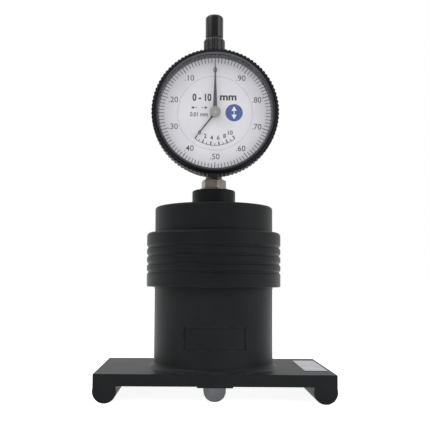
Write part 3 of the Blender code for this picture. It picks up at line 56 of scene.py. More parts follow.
# Sizes are in millimetres, angles in degrees, heights above the floor, unless a line says otherwise.
# Turned pieces are drawn as (radius, height, edge round). Pieces of the dial are drawn lying and then
# stood up: their height becomes the depth in front of the case's middle.
MM = 0.001
NEAR = 0.004 * MM  # what lies closer is the same
FLAT_ANGLE = radians(0.5)
SMOOTH_ANGLE = radians(32)
FOOT_SMOOTH = radians(12)
QUARTER_TURN, FULL_TURN = pi / 2, 2 * pi
EXTRA = 1.0  # how far a cutter reaches past the surface
WIDE_SIDES, ROUND_SIDES, SMALL_SIDES, PIN_SIDES = 160, 96, 64, 32
ROUND_STEPS = 4
FLAT_ENOUGH = 0.9  # of a normal's length along its axis

DIAL_CENTRE = 132.9
FRONT_OF_DIAL = 13.2


def deselect():
    bpy.ops.object.select_all(action="DESELECT")


def activate(piece):
    deselect()
    piece.select_set(True)
    bpy.context.view_layer.objects.active = piece


def edit(piece):
    activate(piece)
    bpy.ops.object.mode_set(mode="EDIT")


def edit_all():
    """Opens the new piece with all its edges selected."""
    bpy.ops.object.mode_set(mode="EDIT")
    bpy.ops.mesh.select_mode(type="EDGE")
    bpy.ops.mesh.select_all(action="SELECT")


def leave():
    bpy.ops.object.mode_set(mode="OBJECT")


def named(name):
    piece = bpy.context.object
    piece.name = piece.data.name = name
    return piece


def settle(piece):
    """Puts the piece's place into its mesh."""
    activate(piece)
    bpy.ops.object.transform_apply(location=True, rotation=True, scale=True)
    return piece


def move(piece, x=0.0, y=0.0, z=0.0, turn=(0, 0, 0)):
    """Turns the piece in degrees, moves it in millimetres and settles it."""
    piece.rotation_euler = [radians(angle) for angle in turn]
    piece.location = Vector((x, y, z)) * MM
    return settle(piece)


def face_front(piece):
    """Stands a piece of the dial up: its height becomes depth towards the viewer."""
    return move(piece, z=DIAL_CENTRE, turn=(90, 0, 0))


def pick(kind, test):
    """Selects the vertices, edges or faces that pass the test, in edit mode."""
    bpy.ops.mesh.select_mode(type=kind)
    bpy.ops.mesh.select_all(action="DESELECT")
    shape = bmesh.from_edit_mesh(bpy.context.edit_object.data)
    for item in {"VERT": shape.verts, "EDGE": shape.edges, "FACE": shape.faces}[kind]:
        if test(item):
            item.select_set(True)
    shape.select_flush_mode()
    bmesh.update_edit_mesh(bpy.context.edit_object.data)


def face_outwards():
    bpy.ops.mesh.select_all(action="SELECT")
    bpy.ops.mesh.normals_make_consistent(inside=False)


def draw_out(rise=0.0):
    """Extrudes the selection upwards."""
    bpy.ops.mesh.extrude_region_move(TRANSFORM_OT_translate={"value": (0, 0, rise * MM)})


def slice_at(place, normal, **settings):
    """Cuts the whole mesh with a plane through a place."""
    place = [c * MM for c in place]
    bpy.ops.mesh.select_all(action="SELECT")
    bpy.ops.mesh.bisect(plane_co=place, plane_no=normal, threshold=NEAR, **settings)


def swing(angle):
    """Turns the selection about the upright axis through the origin."""
    bpy.ops.transform.rotate(value=angle, orient_axis="Z", center_override=(0, 0, 0))


def widen(share):
    """Sizes the selection away from the upright axis through the origin."""
    bpy.ops.transform.resize(value=(share, share, 1), center_override=(0, 0, 0))


def apply_change(piece, kind, **settings):
    """Gives a piece a modifier and makes it part of the mesh."""
    change = piece.modifiers.new("change", kind)
    for name, value in settings.items():
        setattr(change, name, value)
    activate(piece)
    bpy.ops.object.modifier_apply(modifier=change.name)


def round_edges(test, size, steps=ROUND_STEPS):
    pick("EDGE", test)
    bpy.ops.mesh.bevel(offset=size * MM, segments=steps, profile=0.5, affect="EDGES")


def circle(sides, radius, place, filled=True, turn=(0, 0, 0)):
    """A flat circle, or a polygon with few sides."""
    place, filling = [c * MM for c in place], "NGON" if filled else "NOTHING"
    deselect()
    bpy.ops.mesh.primitive_circle_add(
        vertices=sides, radius=radius * MM, location=place, rotation=turn, fill_type=filling
    )
    return bpy.context.object


def turned(name, outline, sides, solid=False):
    """Turns an outline: a ring is drawn out from corner to corner, and its edges are rounded after."""
    circle(sides, outline[0][0], (0, 0, outline[0][1]), solid)
    piece = named(name)
    edit_all()
    for before, corner in zip(outline, outline[1:]):
        share = corner[0] / before[0]
        draw_out(corner[1] - before[1])
        bpy.ops.transform.resize(value=(share, share, 1))
    if not solid:
        pick("EDGE", lambda edge: edge.is_boundary)
        bpy.ops.mesh.bridge_edge_loops()
    face_outwards()
    leave()
    settle(piece)
    edit(piece)
    for radius, height, size in [corner for corner in outline if len(corner) > 2]:
        round_edges(lambda edge: on_ring(edge, radius * MM, height * MM), size)
    leave()
    return piece


def on_ring(edge, radius, height):
    """Whether an edge lies at a radius and height, here in metres."""
    return all(abs(v.co.xy.length - radius) < NEAR and abs(v.co.z - height) < NEAR for v in edge.verts)


def block(name, low, high):
    """A block between two corners."""
    low, high = Vector(low) * MM, Vector(high) * MM
    deselect()
    bpy.ops.mesh.primitive_cube_add(size=1, location=(low + high) / 2, scale=high - low)
    return settle(named(name))


def rod(name, radius, low, high, sides=PIN_SIDES, place=(0, 0), turn=(0, 0, 0)):
    """A plain round bar: a tool for cutting, or the start of a piece."""
    piece = turned(name, [(radius, low), (radius, high)], sides, solid=True)
    return move(piece, place[0], place[1], 0, turn)


def combine(piece, tool, operation="DIFFERENCE"):
    """Cuts a piece with a tool or joins the two, and removes the tool."""
    apply_change(piece, "BOOLEAN", operation=operation, solver="EXACT", object=tool)
    bpy.data.objects.remove(tool)


def drill(piece, radius, low, high, places=((0, 0),), sides=PIN_SIDES):
    """Drills upright holes, on the axis where no places are given."""
    for place in places:
        combine(piece, rod("drill", radius, low, high, sides, place))


def soften(piece, size, steps=2, angle=40):
    """Makes flat faces whole and breaks the sharp edges with a small rounded bevel."""
    edit(piece)
    bpy.ops.mesh.select_all(action="SELECT")
    bpy.ops.mesh.remove_doubles(threshold=NEAR)
    bpy.ops.mesh.dissolve_limited(angle_limit=FLAT_ANGLE)
    leave()
    limit = {"limit_method": "ANGLE", "angle_limit": radians(angle)}
    apply_change(piece, "BEVEL", width=size * MM, segments=steps, **limit)


def copies(piece, places):
    """Copies a piece, each with its own mesh, to every place (x, y, turn)."""
    made = []
    for k, (x, y, turn) in enumerate(places, 1):
        other = piece.copy()
        other.data = piece.data.copy()
        other.name = other.data.name = f"{piece.name}_{k}"
        bpy.context.scene.collection.objects.link(other)
        made.append(move(other, x, y, 0, (0, 0, turn)))
    bpy.data.objects.remove(piece)
    return made


def joined(name, pieces):
    activate(pieces[0])
    for piece in pieces:
        piece.select_set(True)
    bpy.ops.object.join()
    return named(name)


def finish(piece, material, body, slot, *nodes, smooth=SMOOTH_ANGLE):
    """Shades a piece, gives it its finish and body, and hides the nodes it stands for."""
    activate(piece)
    bpy.ops.object.shade_smooth_by_angle(angle=smooth)
    apply_change(piece, "WEIGHTED_NORMAL", keep_sharp=True)
    piece.data.materials.clear()
    piece.data.materials.append(material)
    if body:
        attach(piece, body)
    if nodes:
        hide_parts(*nodes)


# Finishes.
def feed(tree, socket, value):
    """Gives a socket its value, or the link to the socket that feeds it."""
    if isinstance(value, bpy.types.NodeSocket):
        tree.links.new(value, socket)
    else:
        socket.default_value = value


def add(tree, kind, sockets=None, **settings):
    """Adds a node: its settings, then its sockets."""
    made = tree.nodes.new("ShaderNode" + kind)
    for name, value in settings.items():
        setattr(made, name, value)
    for name, value in (sockets or {}).items():
        feed(tree, made.inputs[name], value)
    return made


SOCKET_KINDS = {"Vector": "Vector", "Colour": "Color", "Second Colour": "Color"}  # all others: Float


def effect(name, inputs, *outputs):
    """Starts a node group and returns its tree, its input sockets and a function that ends it."""
    tree = bpy.data.node_groups.new(name, "ShaderNodeTree")
    for in_out, titles in (("INPUT", ("Vector", *inputs)), ("OUTPUT", outputs)):
        for title in titles:
            kind = SOCKET_KINDS.get(title, "Float")
            tree.interface.new_socket(title, in_out=in_out, socket_type="NodeSocket" + kind)
    start = tree.nodes.new("NodeGroupInput")
    end = tree.nodes.new("NodeGroupOutput")

    def close(**sockets):
        for title, socket in sockets.items():
            tree.links.new(socket, end.inputs[title])
        return tree

    return tree, start.outputs, close


def noise(tree, vector, scale, detail=2.0, roughness=0.5):
    sockets = {"Vector": vector, "Scale": scale, "Detail": detail, "Roughness": roughness}
    return add(tree, "TexNoise", sockets).outputs["Fac"]


def spread(tree, value, low, high, to_low=0.0, to_high=1.0):
    sockets = {"Value": value, "From Min": low, "From Max": high, "To Min": to_low, "To Max": to_high}
    return add(tree, "MapRange", sockets).outputs["Result"]


def math_of(tree, operation, *values):
    made = add(tree, "Math", operation=operation)
    for socket, value in zip(made.inputs, values):
        feed(tree, socket, value)
    return made.outputs["Value"]


def times(tree, first, second):
    return math_of(tree, "MULTIPLY", first, second)


def either(tree, first, second):
    return math_of(tree, "MAXIMUM", first, second)


def mixed(tree, share, first, second):
    """Mixes two colours. The node's sockets share names, so they are found by number."""
    made = add(tree, "Mix", data_type="RGBA")
    for number, value in ((0, share), (6, first), (7, second)):
        feed(tree, made.inputs[number], value)
    return made.outputs[2]


def part_of(tree, vector):
    """The x, y and z of a vector."""
    return add(tree, "SeparateXYZ", {"Vector": vector}).outputs


def mapped(tree, vector, **change):
    return add(tree, "Mapping", {"Vector": vector, **change}).outputs["Vector"]


def blotches():
    """Slow change of colour and roughness, as from handling and uneven drying."""
    inputs = ["Size", "Colour", "Second Colour", "Roughness", "Roughness Spread"]
    tree, given, close = effect("blotches", inputs, "Colour", "Roughness")
    scale = math_of(tree, "DIVIDE", 1.0, given["Size"])
    cloud = noise(tree, given["Vector"], scale, 5.0, 0.6)
    fine = noise(tree, given["Vector"], times(tree, scale, 9.0), 3.0)
    change = math_of(tree, "MULTIPLY_ADD", cloud, 0.65, times(tree, fine, 0.35))
    offset = times(tree, math_of(tree, "SUBTRACT", change, 0.5), given["Roughness Spread"])
    shade = mixed(tree, spread(tree, cloud, 0.35, 0.68), given["Colour"], given["Second Colour"])
    return close(Colour=shade, Roughness=math_of(tree, "ADD", given["Roughness"], offset))


def fine_grain():
    """The sand-like grain of a matt coat, as a height."""
    tree, given, close = effect("fine_grain", ["Size"], "Height")
    scale = math_of(tree, "DIVIDE", 1.0, given["Size"])
    grains = noise(tree, given["Vector"], scale, 2.0, 0.55)
    pits = add(tree, "TexVoronoi", {"Vector": given["Vector"], "Scale": times(tree, scale, 0.6)})
    return close(Height=math_of(tree, "MULTIPLY_ADD", pits.outputs["Distance"], 0.5, grains))


def worn_edges():
    """Lighter outer edges, in patches: rubbed by handling, and on some finishes a painted highlight on
    the edges.
    """
    tree, given, close = effect("worn_edges", ["Amount", "Patch Size", "Reach"], "Wear")
    rounded = add(tree, "Bevel", {"Radius": given["Reach"]}, samples=6).outputs["Normal"]
    flat = add(tree, "NewGeometry").outputs["Normal"]
    level = add(tree, "VectorMath", {0: rounded, 1: flat}, operation="DOT_PRODUCT").outputs["Value"]
    edge = spread(tree, level, 0.985, 0.86)
    scale = math_of(tree, "DIVIDE", 1.0, given["Patch Size"])
    patches = spread(tree, noise(tree, given["Vector"], scale, 6.0, 0.7), 0.42, 0.66)
    return close(Wear=times(tree, times(tree, edge, patches), given["Amount"]))


def dust_film():
    """A thin film of dust on what faces up."""
    tree, given, close = effect("dust_film", ["Amount"], "Dust")
    normal = part_of(tree, add(tree, "NewGeometry").outputs["Normal"])
    up = spread(tree, normal["Z"], 0.5, 1.0)
    specks = spread(tree, noise(tree, given["Vector"], 900.0, 6.0, 0.75), 0.5, 0.8)
    cover = spread(tree, noise(tree, given["Vector"], 55.0, 3.0), 0.3, 0.75)
    film = math_of(tree, "MULTIPLY_ADD", specks, 0.6, times(tree, cover, 0.4))
    return close(Dust=times(tree, times(tree, up, film), given["Amount"]))


def marks_along(tree, close, vector, pitch, detail, roughness, broad_scale):
    """Ends an effect with lines of a pitch, and with their mix with broader bands."""
    scale = math_of(tree, "DIVIDE", 1.0, pitch)
    lines = noise(tree, vector, scale, detail, roughness)
    broad = noise(tree, vector, times(tree, scale, broad_scale), 2.0)
    marks = math_of(tree, "MULTIPLY_ADD", broad, 0.4, times(tree, lines, 0.6))
    return close(Height=lines, Marks=marks)


def tool_marks():
    """Fine marks of turning about the pattern's z axis: they run round the piece."""
    tree, given, close = effect("tool_marks", ["Pitch"], "Height", "Marks")
    parts = part_of(tree, given["Vector"])
    squares = [times(tree, parts[axis], parts[axis]) for axis in ("X", "Y")]
    across = math_of(tree, "SQRT", math_of(tree, "ADD", *squares))
    place = add(tree, "CombineXYZ", {"X": across, "Z": parts["Z"]}).outputs["Vector"]
    return marks_along(tree, close, place, given["Pitch"], 3.0, 0.7, 0.12)


def ground_marks():
    """Straight scratches of grinding along the pattern's y axis."""
    tree, given, close = effect("ground_marks", ["Pitch"], "Height", "Marks")
    long = mapped(tree, given["Vector"], Scale=(1.0, 0.03, 1.0))
    return marks_along(tree, close, long, given["Pitch"], 4.0, 0.75, 0.15)


EFFECTS = {made.name: made for made in (
    blotches(), fine_grain(), worn_edges(), dust_film(), tool_marks(), ground_marks()
)}


def colour(red, green, blue):
    """A colour as read off a screen, 0 to 255, made linear."""
    shades = [c / 255 for c in (red, green, blue)]
    return tuple(c / 12.92 if c <= 0.04045 else ((c + 0.055) / 1.055) ** 2.4 for c in shades) + (1.0,)


def use(tree, name, where, **values):
    """Places an effect in a material and returns its outputs."""
    made = tree.nodes.new("ShaderNodeGroup")
    made.node_tree = EFFECTS[name]
    feed(tree, made.inputs["Vector"], where)
    for title, value in values.items():
        feed(tree, made.inputs[title.replace("_", " ")], value)
    return made.outputs


def new_material(name, **constants):
    """An empty material with its shader, the shader's constants set on its own sockets."""
    material = bpy.data.materials.new(name)
    material.use_nodes = True
    tree = material.node_tree
    shader = tree.nodes["Principled BSDF"]
    for title, value in constants.items():
        shader.inputs[title.replace("_", " ")].default_value = value
    return material, tree, shader


def place_of(tree, on_dial=False):
    """Object coordinates. On the dial gauge they are centred and turned to its axis."""
    where = add(tree, "TexCoord").outputs["Object"]
    if not on_dial:
        return where
    centred = mapped(tree, where, Location=(0, 0, -DIAL_CENTRE * MM))
    return mapped(tree, centred, Rotation=(-QUARTER_TURN, 0, 0))


def link_shader(tree, shader, shade, rough, height, depth):
    bump = add(tree, "Bump", {"Height": height, "Distance": depth * MM, "Strength": 1.0})
    sockets = {"Base Color": shade, "Roughness": rough, "Normal": bump.outputs["Normal"]}
    for title, socket in sockets.items():
        tree.links.new(socket, shader.inputs[title])


def blotched(tree, where, size, first, second, rough, uneven):
    """Two colours and a roughness, spread over the piece in blotches of a size."""
    values = {"Size": size * MM, "Roughness": rough, "Roughness_Spread": uneven}
    colours = {"Colour": colour(*first), "Second_Colour": colour(*second)}
    return use(tree, "blotches", where, **values, **colours)


# The mask of lighter edges: rubbing, and painted highlight where its amount is high.
def worn_mask(tree, where, amount, patch, reach):
    return use(tree, "worn_edges", where, Amount=amount, Patch_Size=patch * MM, Reach=reach * MM)["Wear"]


COAT_BLOTCH, METAL_BLOTCH, PAINT_BLOTCH, PAINT_SPREAD = 22, 6, 9, 0.15
COAT_WEAR_AND_HIGHLIGHT, METAL_WEAR_AND_HIGHLIGHT = (4, 0.5), (2, 0.4)  # size of the patches of lighter edges, rubbing and painted highlight, and reach from the edge
# Colours of lighter edges on coat and metal, rubbed bare and painted highlight, and of dust.
WORN_COAT_AND_HIGHLIGHT, DUST, WORN_METAL_AND_HIGHLIGHT = (112, 112, 112), (150, 146, 140), (214, 210, 206)
DUST_ROUGHENS, MARKS_ROUGHEN = 0.3, 0.25
MARK_SHARE, GRAIN_SHARE = 0.8, 0.3  # in the height of a coat with tool marks
PAINT_GRAIN, PAINT_GRAIN_DEPTH = 0.18, 0.004


def coat(
    name, first, second, rough, uneven, grain, depth, wear_and_highlight_amount, dust, gloss, marks=0.0, on_dial=False
):
    """A black coat: blotches, grain or tool marks, lighter edges and a little dust. The lighter edges
    are rubbing, and painted highlight where their amount is high.
    """
    material, tree, shader = new_material(name, Specular_IOR_Level=gloss)
    where = place_of(tree, on_dial)
    base = blotched(tree, where, COAT_BLOTCH, first, second, rough, uneven)
    height = use(tree, "fine_grain", where, Size=grain * MM)["Height"]
    wear_and_highlight = worn_mask(tree, where, wear_and_highlight_amount, *COAT_WEAR_AND_HIGHLIGHT)
    film = use(tree, "dust_film", where, Amount=dust)["Dust"]
    # Edges lightened towards grey: rubbing, and painted highlight where the amount is high.
    shade = mixed(tree, film, mixed(tree, wear_and_highlight, base["Colour"], colour(*WORN_COAT_AND_HIGHLIGHT)), colour(*DUST))
    rough_now = math_of(tree, "MULTIPLY_ADD", film, DUST_ROUGHENS, base["Roughness"])
    if marks:
        lines = use(tree, "tool_marks", where, Pitch=marks * MM)
        grains = times(tree, height, GRAIN_SHARE)
        height = math_of(tree, "MULTIPLY_ADD", lines["Height"], MARK_SHARE, grains)
        change = math_of(tree, "SUBTRACT", lines["Marks"], 0.5)
        rough_now = math_of(tree, "MULTIPLY_ADD", change, MARKS_ROUGHEN, rough_now)
    link_shader(tree, shader, shade, rough_now, height, depth)
    return material


def metal(name, first, second, rough, uneven, marks, pitch, depth, on_dial=False, edge=0.4):
    """A bare metal with turned or ground marks, and stains that change its roughness. Its edges are
    lightened by the amount edge: rubbing, and a painted highlight on the corners.
    """
    material, tree, shader = new_material(name, Metallic=1.0)
    where = place_of(tree, on_dial)
    lines = use(tree, marks, where, Pitch=pitch * MM)
    base = blotched(tree, where, METAL_BLOTCH, first, second, rough, uneven)
    wear_and_highlight = worn_mask(tree, where, edge, *METAL_WEAR_AND_HIGHLIGHT)
    # Lighter edges: rubbing, and painted highlight on the corners.
    shade = mixed(tree, wear_and_highlight, base["Colour"], colour(*WORN_METAL_AND_HIGHLIGHT))
    change = math_of(tree, "SUBTRACT", lines["Marks"], 0.5)
    rough_now = math_of(tree, "MULTIPLY_ADD", change, uneven, base["Roughness"])
    link_shader(tree, shader, shade, rough_now, lines["Height"], depth)
    return material


def paint(name, first, second, rough, gloss):
    """A thin print or painted sheet, slightly uneven."""
    material, tree, shader = new_material(name, Specular_IOR_Level=gloss)
    where = place_of(tree)
    base = blotched(tree, where, PAINT_BLOTCH, first, second, rough, PAINT_SPREAD)
    grain = use(tree, "fine_grain", where, Size=PAINT_GRAIN * MM)["Height"]
    link_shader(tree, shader, base["Colour"], base["Roughness"], grain, PAINT_GRAIN_DEPTH)
    return material


def crystal_glass():
    """Clear glass with faint wipe marks, open to light that only passes through."""
    material, tree, shader = new_material("crystal_glass", IOR=1.46, Transmission_Weight=1.0)
    shader.inputs["Base Color"].default_value = colour(250, 252, 253)
    wipes = noise(tree, mapped(tree, place_of(tree), Scale=(1.0, 1.0, 0.25)), 300.0, 5.0, 0.7)
    tree.links.new(spread(tree, wipes, 0.5, 0.9, 0.0, 0.05), shader.inputs["Roughness"])
    clear = add(tree, "BsdfTransparent")
    path = add(tree, "LightPath").outputs
    through = either(tree, path["Is Shadow Ray"], path["Is Diffuse Ray"])
    both = add(tree, "MixShader", {"Fac": through})
    tree.links.new(shader.outputs["BSDF"], both.inputs[1])
    tree.links.new(clear.outputs["BSDF"], both.inputs[2])
    tree.links.new(both.outputs["Shader"], tree.nodes["Material Output"].inputs["Surface"])
    return material


# Coats: two colours, roughness and its spread, the grain's size and depth, the amount of lighter edges
# (rubbing and painted highlight), dust, gloss, and the pitch of tool marks.
BLACK, BLACK_SECOND = (14, 17, 18), (22, 25, 26)
enamel = coat("matt_black_enamel", BLACK, BLACK_SECOND, 0.45, 0.16, 0.35, 0.02, 0.3, 0.06, 0.12)
ring_black = coat(
    "turned_black_anodise", BLACK, (21, 24, 25), 0.42, 0.16, 0.3, 0.012, 0.35, 0.05, 0.11, 0.25
)
case_black = coat(
    "case_black_anodise", (15, 16, 18), (21, 22, 25), 0.45, 0.16, 0.3, 0.010, 0.3, 0.05, 0.08, 0.2, True
)
bezel_black = coat(
    "bezel_black_anodise", (13, 15, 17), (19, 21, 24), 0.5, 0.14, 0.3, 0.006, 0.12, 0.02, 0.06, 0.2, True
)
# A lighter grey than the knurl's black on the same ring, for its lip and inner wall: painted sheen.
bezel_face_painted_sheen = coat(
    "bezel_face_anodise_painted_sheen", (40, 40, 46), (50, 50, 57), 0.24, 0.12, 0.4, 0.002, 0.3, 0.02, 0.5, 0.3, True
)
gloss_black = coat(
    "polished_black", (12, 13, 16), (17, 18, 22), 0.22, 0.08, 0.8, 0.0008, 0.25, 0.02, 0.4, 0.6
)
# The high edge amount, 0.9, lightens the flutes' ridges: painted highlight more than rubbing.
boss_black = coat("fluted_black", (14, 15, 18), (20, 21, 25), 0.24, 0.1, 0.6, 0.001, 0.9, 0.03, 0.5, 0.4)

# Metals: two colours, roughness and its spread, the kind of marks, their pitch and depth.
TURNED, GROUND = "tool_marks", "ground_marks"
bright_steel = metal("bright_steel", (186, 184, 180), (166, 162, 156), 0.28, 0.2, TURNED, 0.15, 0.004)
# The nut's edge amount, 0.9, is mostly a painted highlight on its corners.
plated_nut = metal(
    "plated_nut", (150, 142, 136), (120, 112, 106), 0.34, 0.25, TURNED, 0.3, 0.006, edge=0.9
)
stem_steel = metal("stem_steel", (92, 90, 86), (70, 68, 65), 0.34, 0.2, TURNED, 0.2, 0.004)
hardened_steel = metal("hardened_steel", (120, 120, 122), (92, 90, 90), 0.34, 0.2, TURNED, 0.2, 0.006)
dark_steel = metal("blackened_screws", (70, 70, 72), (52, 52, 54), 0.38, 0.2, TURNED, 0.2, 0.006)
ground_aluminium = metal(
    "ground_aluminium", (99, 101, 104), (84, 86, 89), 0.42, 0.25, GROUND, 0.2, 0.010
)
label_metal = metal("brushed_label", (174, 176, 180), (156, 158, 162), 0.38, 0.2, GROUND, 0.15, 0.004)
hand_metal = metal("brushed_hand", (84, 86, 89), (64, 66, 69), 0.36, 0.2, GROUND, 0.1, 0.003, True)
hub_metal = metal("turned_hub", (158, 154, 148), (138, 134, 128), 0.3, 0.2, TURNED, 0.12, 0.004, True)
brass = metal("turned_brass", (206, 176, 110), (178, 146, 84), 0.32, 0.2, TURNED, 0.2, 0.005, True)
bronze = metal("bearing_bronze", (176, 132, 88), (148, 106, 68), 0.4, 0.2, TURNED, 0.2, 0.006)

# Prints and paints: two colours, roughness and gloss.
dial_paint = paint("dial_paint", (221, 218, 222), (214, 211, 216), 0.55, 0.3)
black_ink = paint("black_ink", (38, 38, 42), (52, 52, 56), 0.5, 0.3)
grey_ink = paint("grey_ink", (168, 168, 174), (156, 156, 164), 0.5, 0.3)
blue_ink = paint("blue_ink", (60, 86, 148), (52, 77, 136), 0.45, 0.3)
white_ink = paint("white_ink", (226, 228, 234), (214, 216, 224), 0.45, 0.3)
hand_paint = paint("hand_black_paint", (34, 34, 38), (50, 50, 54), 0.4, 0.5)
glass = crystal_glass()

# Base, feet and bar. Holes are given as (radius, low end, high end) or (low end, high end).
FOOT_CENTRE, FOOT_BEAD, BEAD_SIDES = 48.65, 5.3, 72
FOOT_HALF = FOOT_BEAD * cos(radians(15))  # the side walls stand on a corner of the bead
FOOT_INNER, BASE_HALF, DEPTH_HALF = FOOT_CENTRE - FOOT_HALF, FOOT_CENTRE + FOOT_HALF, 29.2
PLATE_LOW, PLATE_TOP = 7.5, 12.9
PAD_HALF, PAD_LOW = 7.9, 6.9
THROUGH_PLATE = (PAD_LOW - EXTRA, PLATE_TOP + EXTRA)
BUSH_HOLE, PLATE_PIN_HOLE = (7.3, *THROUGH_PLATE), (1.6, *THROUGH_PLATE)
PIN_PLACES = [(0, -17.7), (0, 17.7)]
BAR_HALF, BAR_END, BAR_TOP, BAR_ROUND = 5, 24.2, 6.6, 4.8
ROD_HOLE, BAR_PIN_HOLE = (2.45, 2.3, BAR_TOP + EXTRA), (1.55, 2.3, BAR_TOP + EXTRA)
SCREW_PLACES = [(x, y) for x in (-15, 15) for y in (-12, 12)]
SCREW_HOLE, HEAD_LOW, HEAD_TOP = 2.2, 7.8, 9.6
SINK = [(3.9, THROUGH_PLATE[0]), (3.9, HEAD_LOW), (SCREW_HOLE, HEAD_TOP), (SCREW_HOLE, THROUGH_PLATE[1])]
SCREW_OUTLINE = [(1.9, 17.3, 0.3), (1.9, HEAD_TOP), (3.6, 7.95), (3.6, HEAD_LOW, 0.1)]
SOCKET = (1.4, 6.8, 9.2)


def trim_depth(piece):
    """Cuts a piece off flat at the base's front and back."""
    edit(piece)
    for side in (-1, 1):
        slice_at((0, side * DEPTH_HALF, 0), (0, side, 0), clear_outer=True, use_fill=True)
    leave()


def base_plate():
    """The plate with its guide pad and two half-round feet, cut off flat at front and back."""
    longer = DEPTH_HALF + EXTRA
    plate = block("base", (-BASE_HALF, -longer, PLATE_LOW), (BASE_HALF, longer, PLATE_TOP))
    edit(plate)
    for x in (-FOOT_INNER, -PAD_HALF, PAD_HALF, FOOT_INNER):
        slice_at((x, 0, 0), (1, 0, 0))
    for inner, outer, level in ((FOOT_INNER, BASE_HALF, FOOT_BEAD), (0, PAD_HALF, PAD_LOW)):

        def underneath(face):
            aside = abs(face.calc_center_median().x) / MM
            return face.normal.z < -FLAT_ENOUGH and inner <= aside < outer

        pick("FACE", underneath)
        draw_out(level - PLATE_LOW)
    face_outwards()
    leave()
    for side in (-1, 1):
        bead = rod("bead", FOOT_BEAD, -longer - EXTRA, longer + EXTRA, BEAD_SIDES, turn=(90, 0, 0))
        combine(plate, move(bead, side * FOOT_CENTRE, 0, FOOT_BEAD), "UNION")
    trim_depth(plate)
    soften(plate, 0.25)
    drill(plate, *BUSH_HOLE, sides=SMALL_SIDES)
    drill(plate, *PLATE_PIN_HOLE, PIN_PLACES)
    for x, y in SCREW_PLACES:
        combine(plate, move(turned("sink", SINK, PIN_SIDES, solid=True), x, y))
    finish(plate, enamel, "housing", "black_enamel", "base_plate", smooth=FOOT_SMOOTH)


def measuring_bar():
    """The sliding bar, half-round below."""
    bar = block("bar", (-BAR_HALF, -BAR_END, 0), (BAR_HALF, BAR_END, BAR_TOP))

    def lower_side(edge):
        """Whether an edge is one of the two long lower ones."""
        first, second = (v.co for v in edge.verts)
        return max(first.z, second.z) < NEAR and abs(first.x - second.x) < NEAR

    edit(bar)
    round_edges(lower_side, BAR_ROUND, 12)
    leave()
    soften(bar, 0.3, 3, 50)
    drill(bar, *ROD_HOLE)
    drill(bar, *BAR_PIN_HOLE, PIN_PLACES)
    finish(bar, ground_aluminium, "plunger", "ground_aluminium", "measuring_bar")


def base_screws():
    screw = turned("base_screw", SCREW_OUTLINE, PIN_SIDES, solid=True)
    combine(screw, rod("socket", *SOCKET, sides=6))
    for k, piece in enumerate(copies(screw, [(x, y, 0) for x, y in SCREW_PLACES]), 1):
        piece.name = f"countersunk_screw_{k}"
        finish(piece, dark_steel, "housing", "spring_steel", f"base_screw_{k}")


# Body.
TUBE_RADIUS, TUBE_LOW, TUBE_FLOOR = 28.6, 13.2, 18.2
TUBE_OUTLINE = [
    (7.3, TUBE_LOW), (28, TUBE_LOW), (28, 12.92), (31.2, 12.92), (30.4, 13.05), (29.67, 13.42),
    (29.1, 13.99), (28.73, 14.72), (TUBE_RADIUS, 15.5), (TUBE_RADIUS, 68.5, 0.3), (24.6, 68.5),
    (24.6, TUBE_FLOOR), (7.3, TUBE_FLOOR),
]
THROUGH_FLOOR = (TUBE_LOW - EXTRA, TUBE_FLOOR + EXTRA)
PANEL_HALF, PANEL_LOW, PANEL_HIGH, PANEL_DEPTH, PANEL_EDGE = 13.98, 23.05, 33.3, 0.6, 0.18
PANEL_SLACK, FACE_SLACK = 0.1, 0.05
RING_RADIUS, RING_BORE, RING_TOP, RING_LOW = 32.34, 28.9, 76.8, 50.9
GROOVES, GROOVE_TOP, GROOVE_PITCH = 4, 69.7, 3.95
GROOVE = [(RING_RADIUS, 0.8, 0.2), (31.8, 0.35, 0.15), (31.8, -0.35, 0.15), (RING_RADIUS, -0.8, 0.2)]
COVER_OUTLINE = [
    (6.8, 97.7, 0.3), (10.5, 97.7, 0.9), (10.5, 89.3), (28.45, 89.3, 1.2), (28.45, 68.8, 0.3),
    (24.6, 68.8), (24.6, 85.3), (4.6, 85.3), (4.6, 87.1), (6.8, 90.6),
]


def body_tube():
    """The tube with its flare onto the base and the sunk panel low on its front."""
    tube = turned("tube", TUBE_OUTLINE, WIDE_SIDES)
    trim_depth(tube)
    edit(tube)
    for height in (PANEL_LOW, PANEL_HIGH):
        slice_at((0, 0, height), (0, 0, 1))

    def in_panel(place, slack=0):
        """Whether a place on the tube's face lies within the panel's edges and a slack."""
        x, y, z = place / MM
        beside = abs(x) < PANEL_HALF + slack and PANEL_LOW - slack < z < PANEL_HIGH + slack
        return beside and y < 0 and hypot(x, y) > TUBE_RADIUS - PANEL_SLACK

    def on_rim(edge):
        """Whether an edge lies between the tube's face and the panel's wall."""
        reach = [face.calc_center_median().xy.length / MM for face in edge.link_faces]
        on_face = [abs(distance - TUBE_RADIUS) < FACE_SLACK for distance in reach]
        middle = (edge.verts[0].co + edge.verts[1].co) / 2
        return on_face.count(True) == 1 and in_panel(middle, PANEL_SLACK)

    pick("FACE", lambda face: in_panel(face.calc_center_median()))
    bpy.ops.mesh.extrude_region_shrink_fatten(TRANSFORM_OT_shrink_fatten={"value": -PANEL_DEPTH * MM})
    round_edges(on_rim, PANEL_EDGE, 2)
    leave()
    drill(tube, 1.8, *THROUGH_FLOOR, PIN_PLACES)
    drill(tube, SCREW_HOLE, *THROUGH_FLOOR, SCREW_PLACES)
    finish(tube, enamel, "housing", "black_enamel", "body_tube")


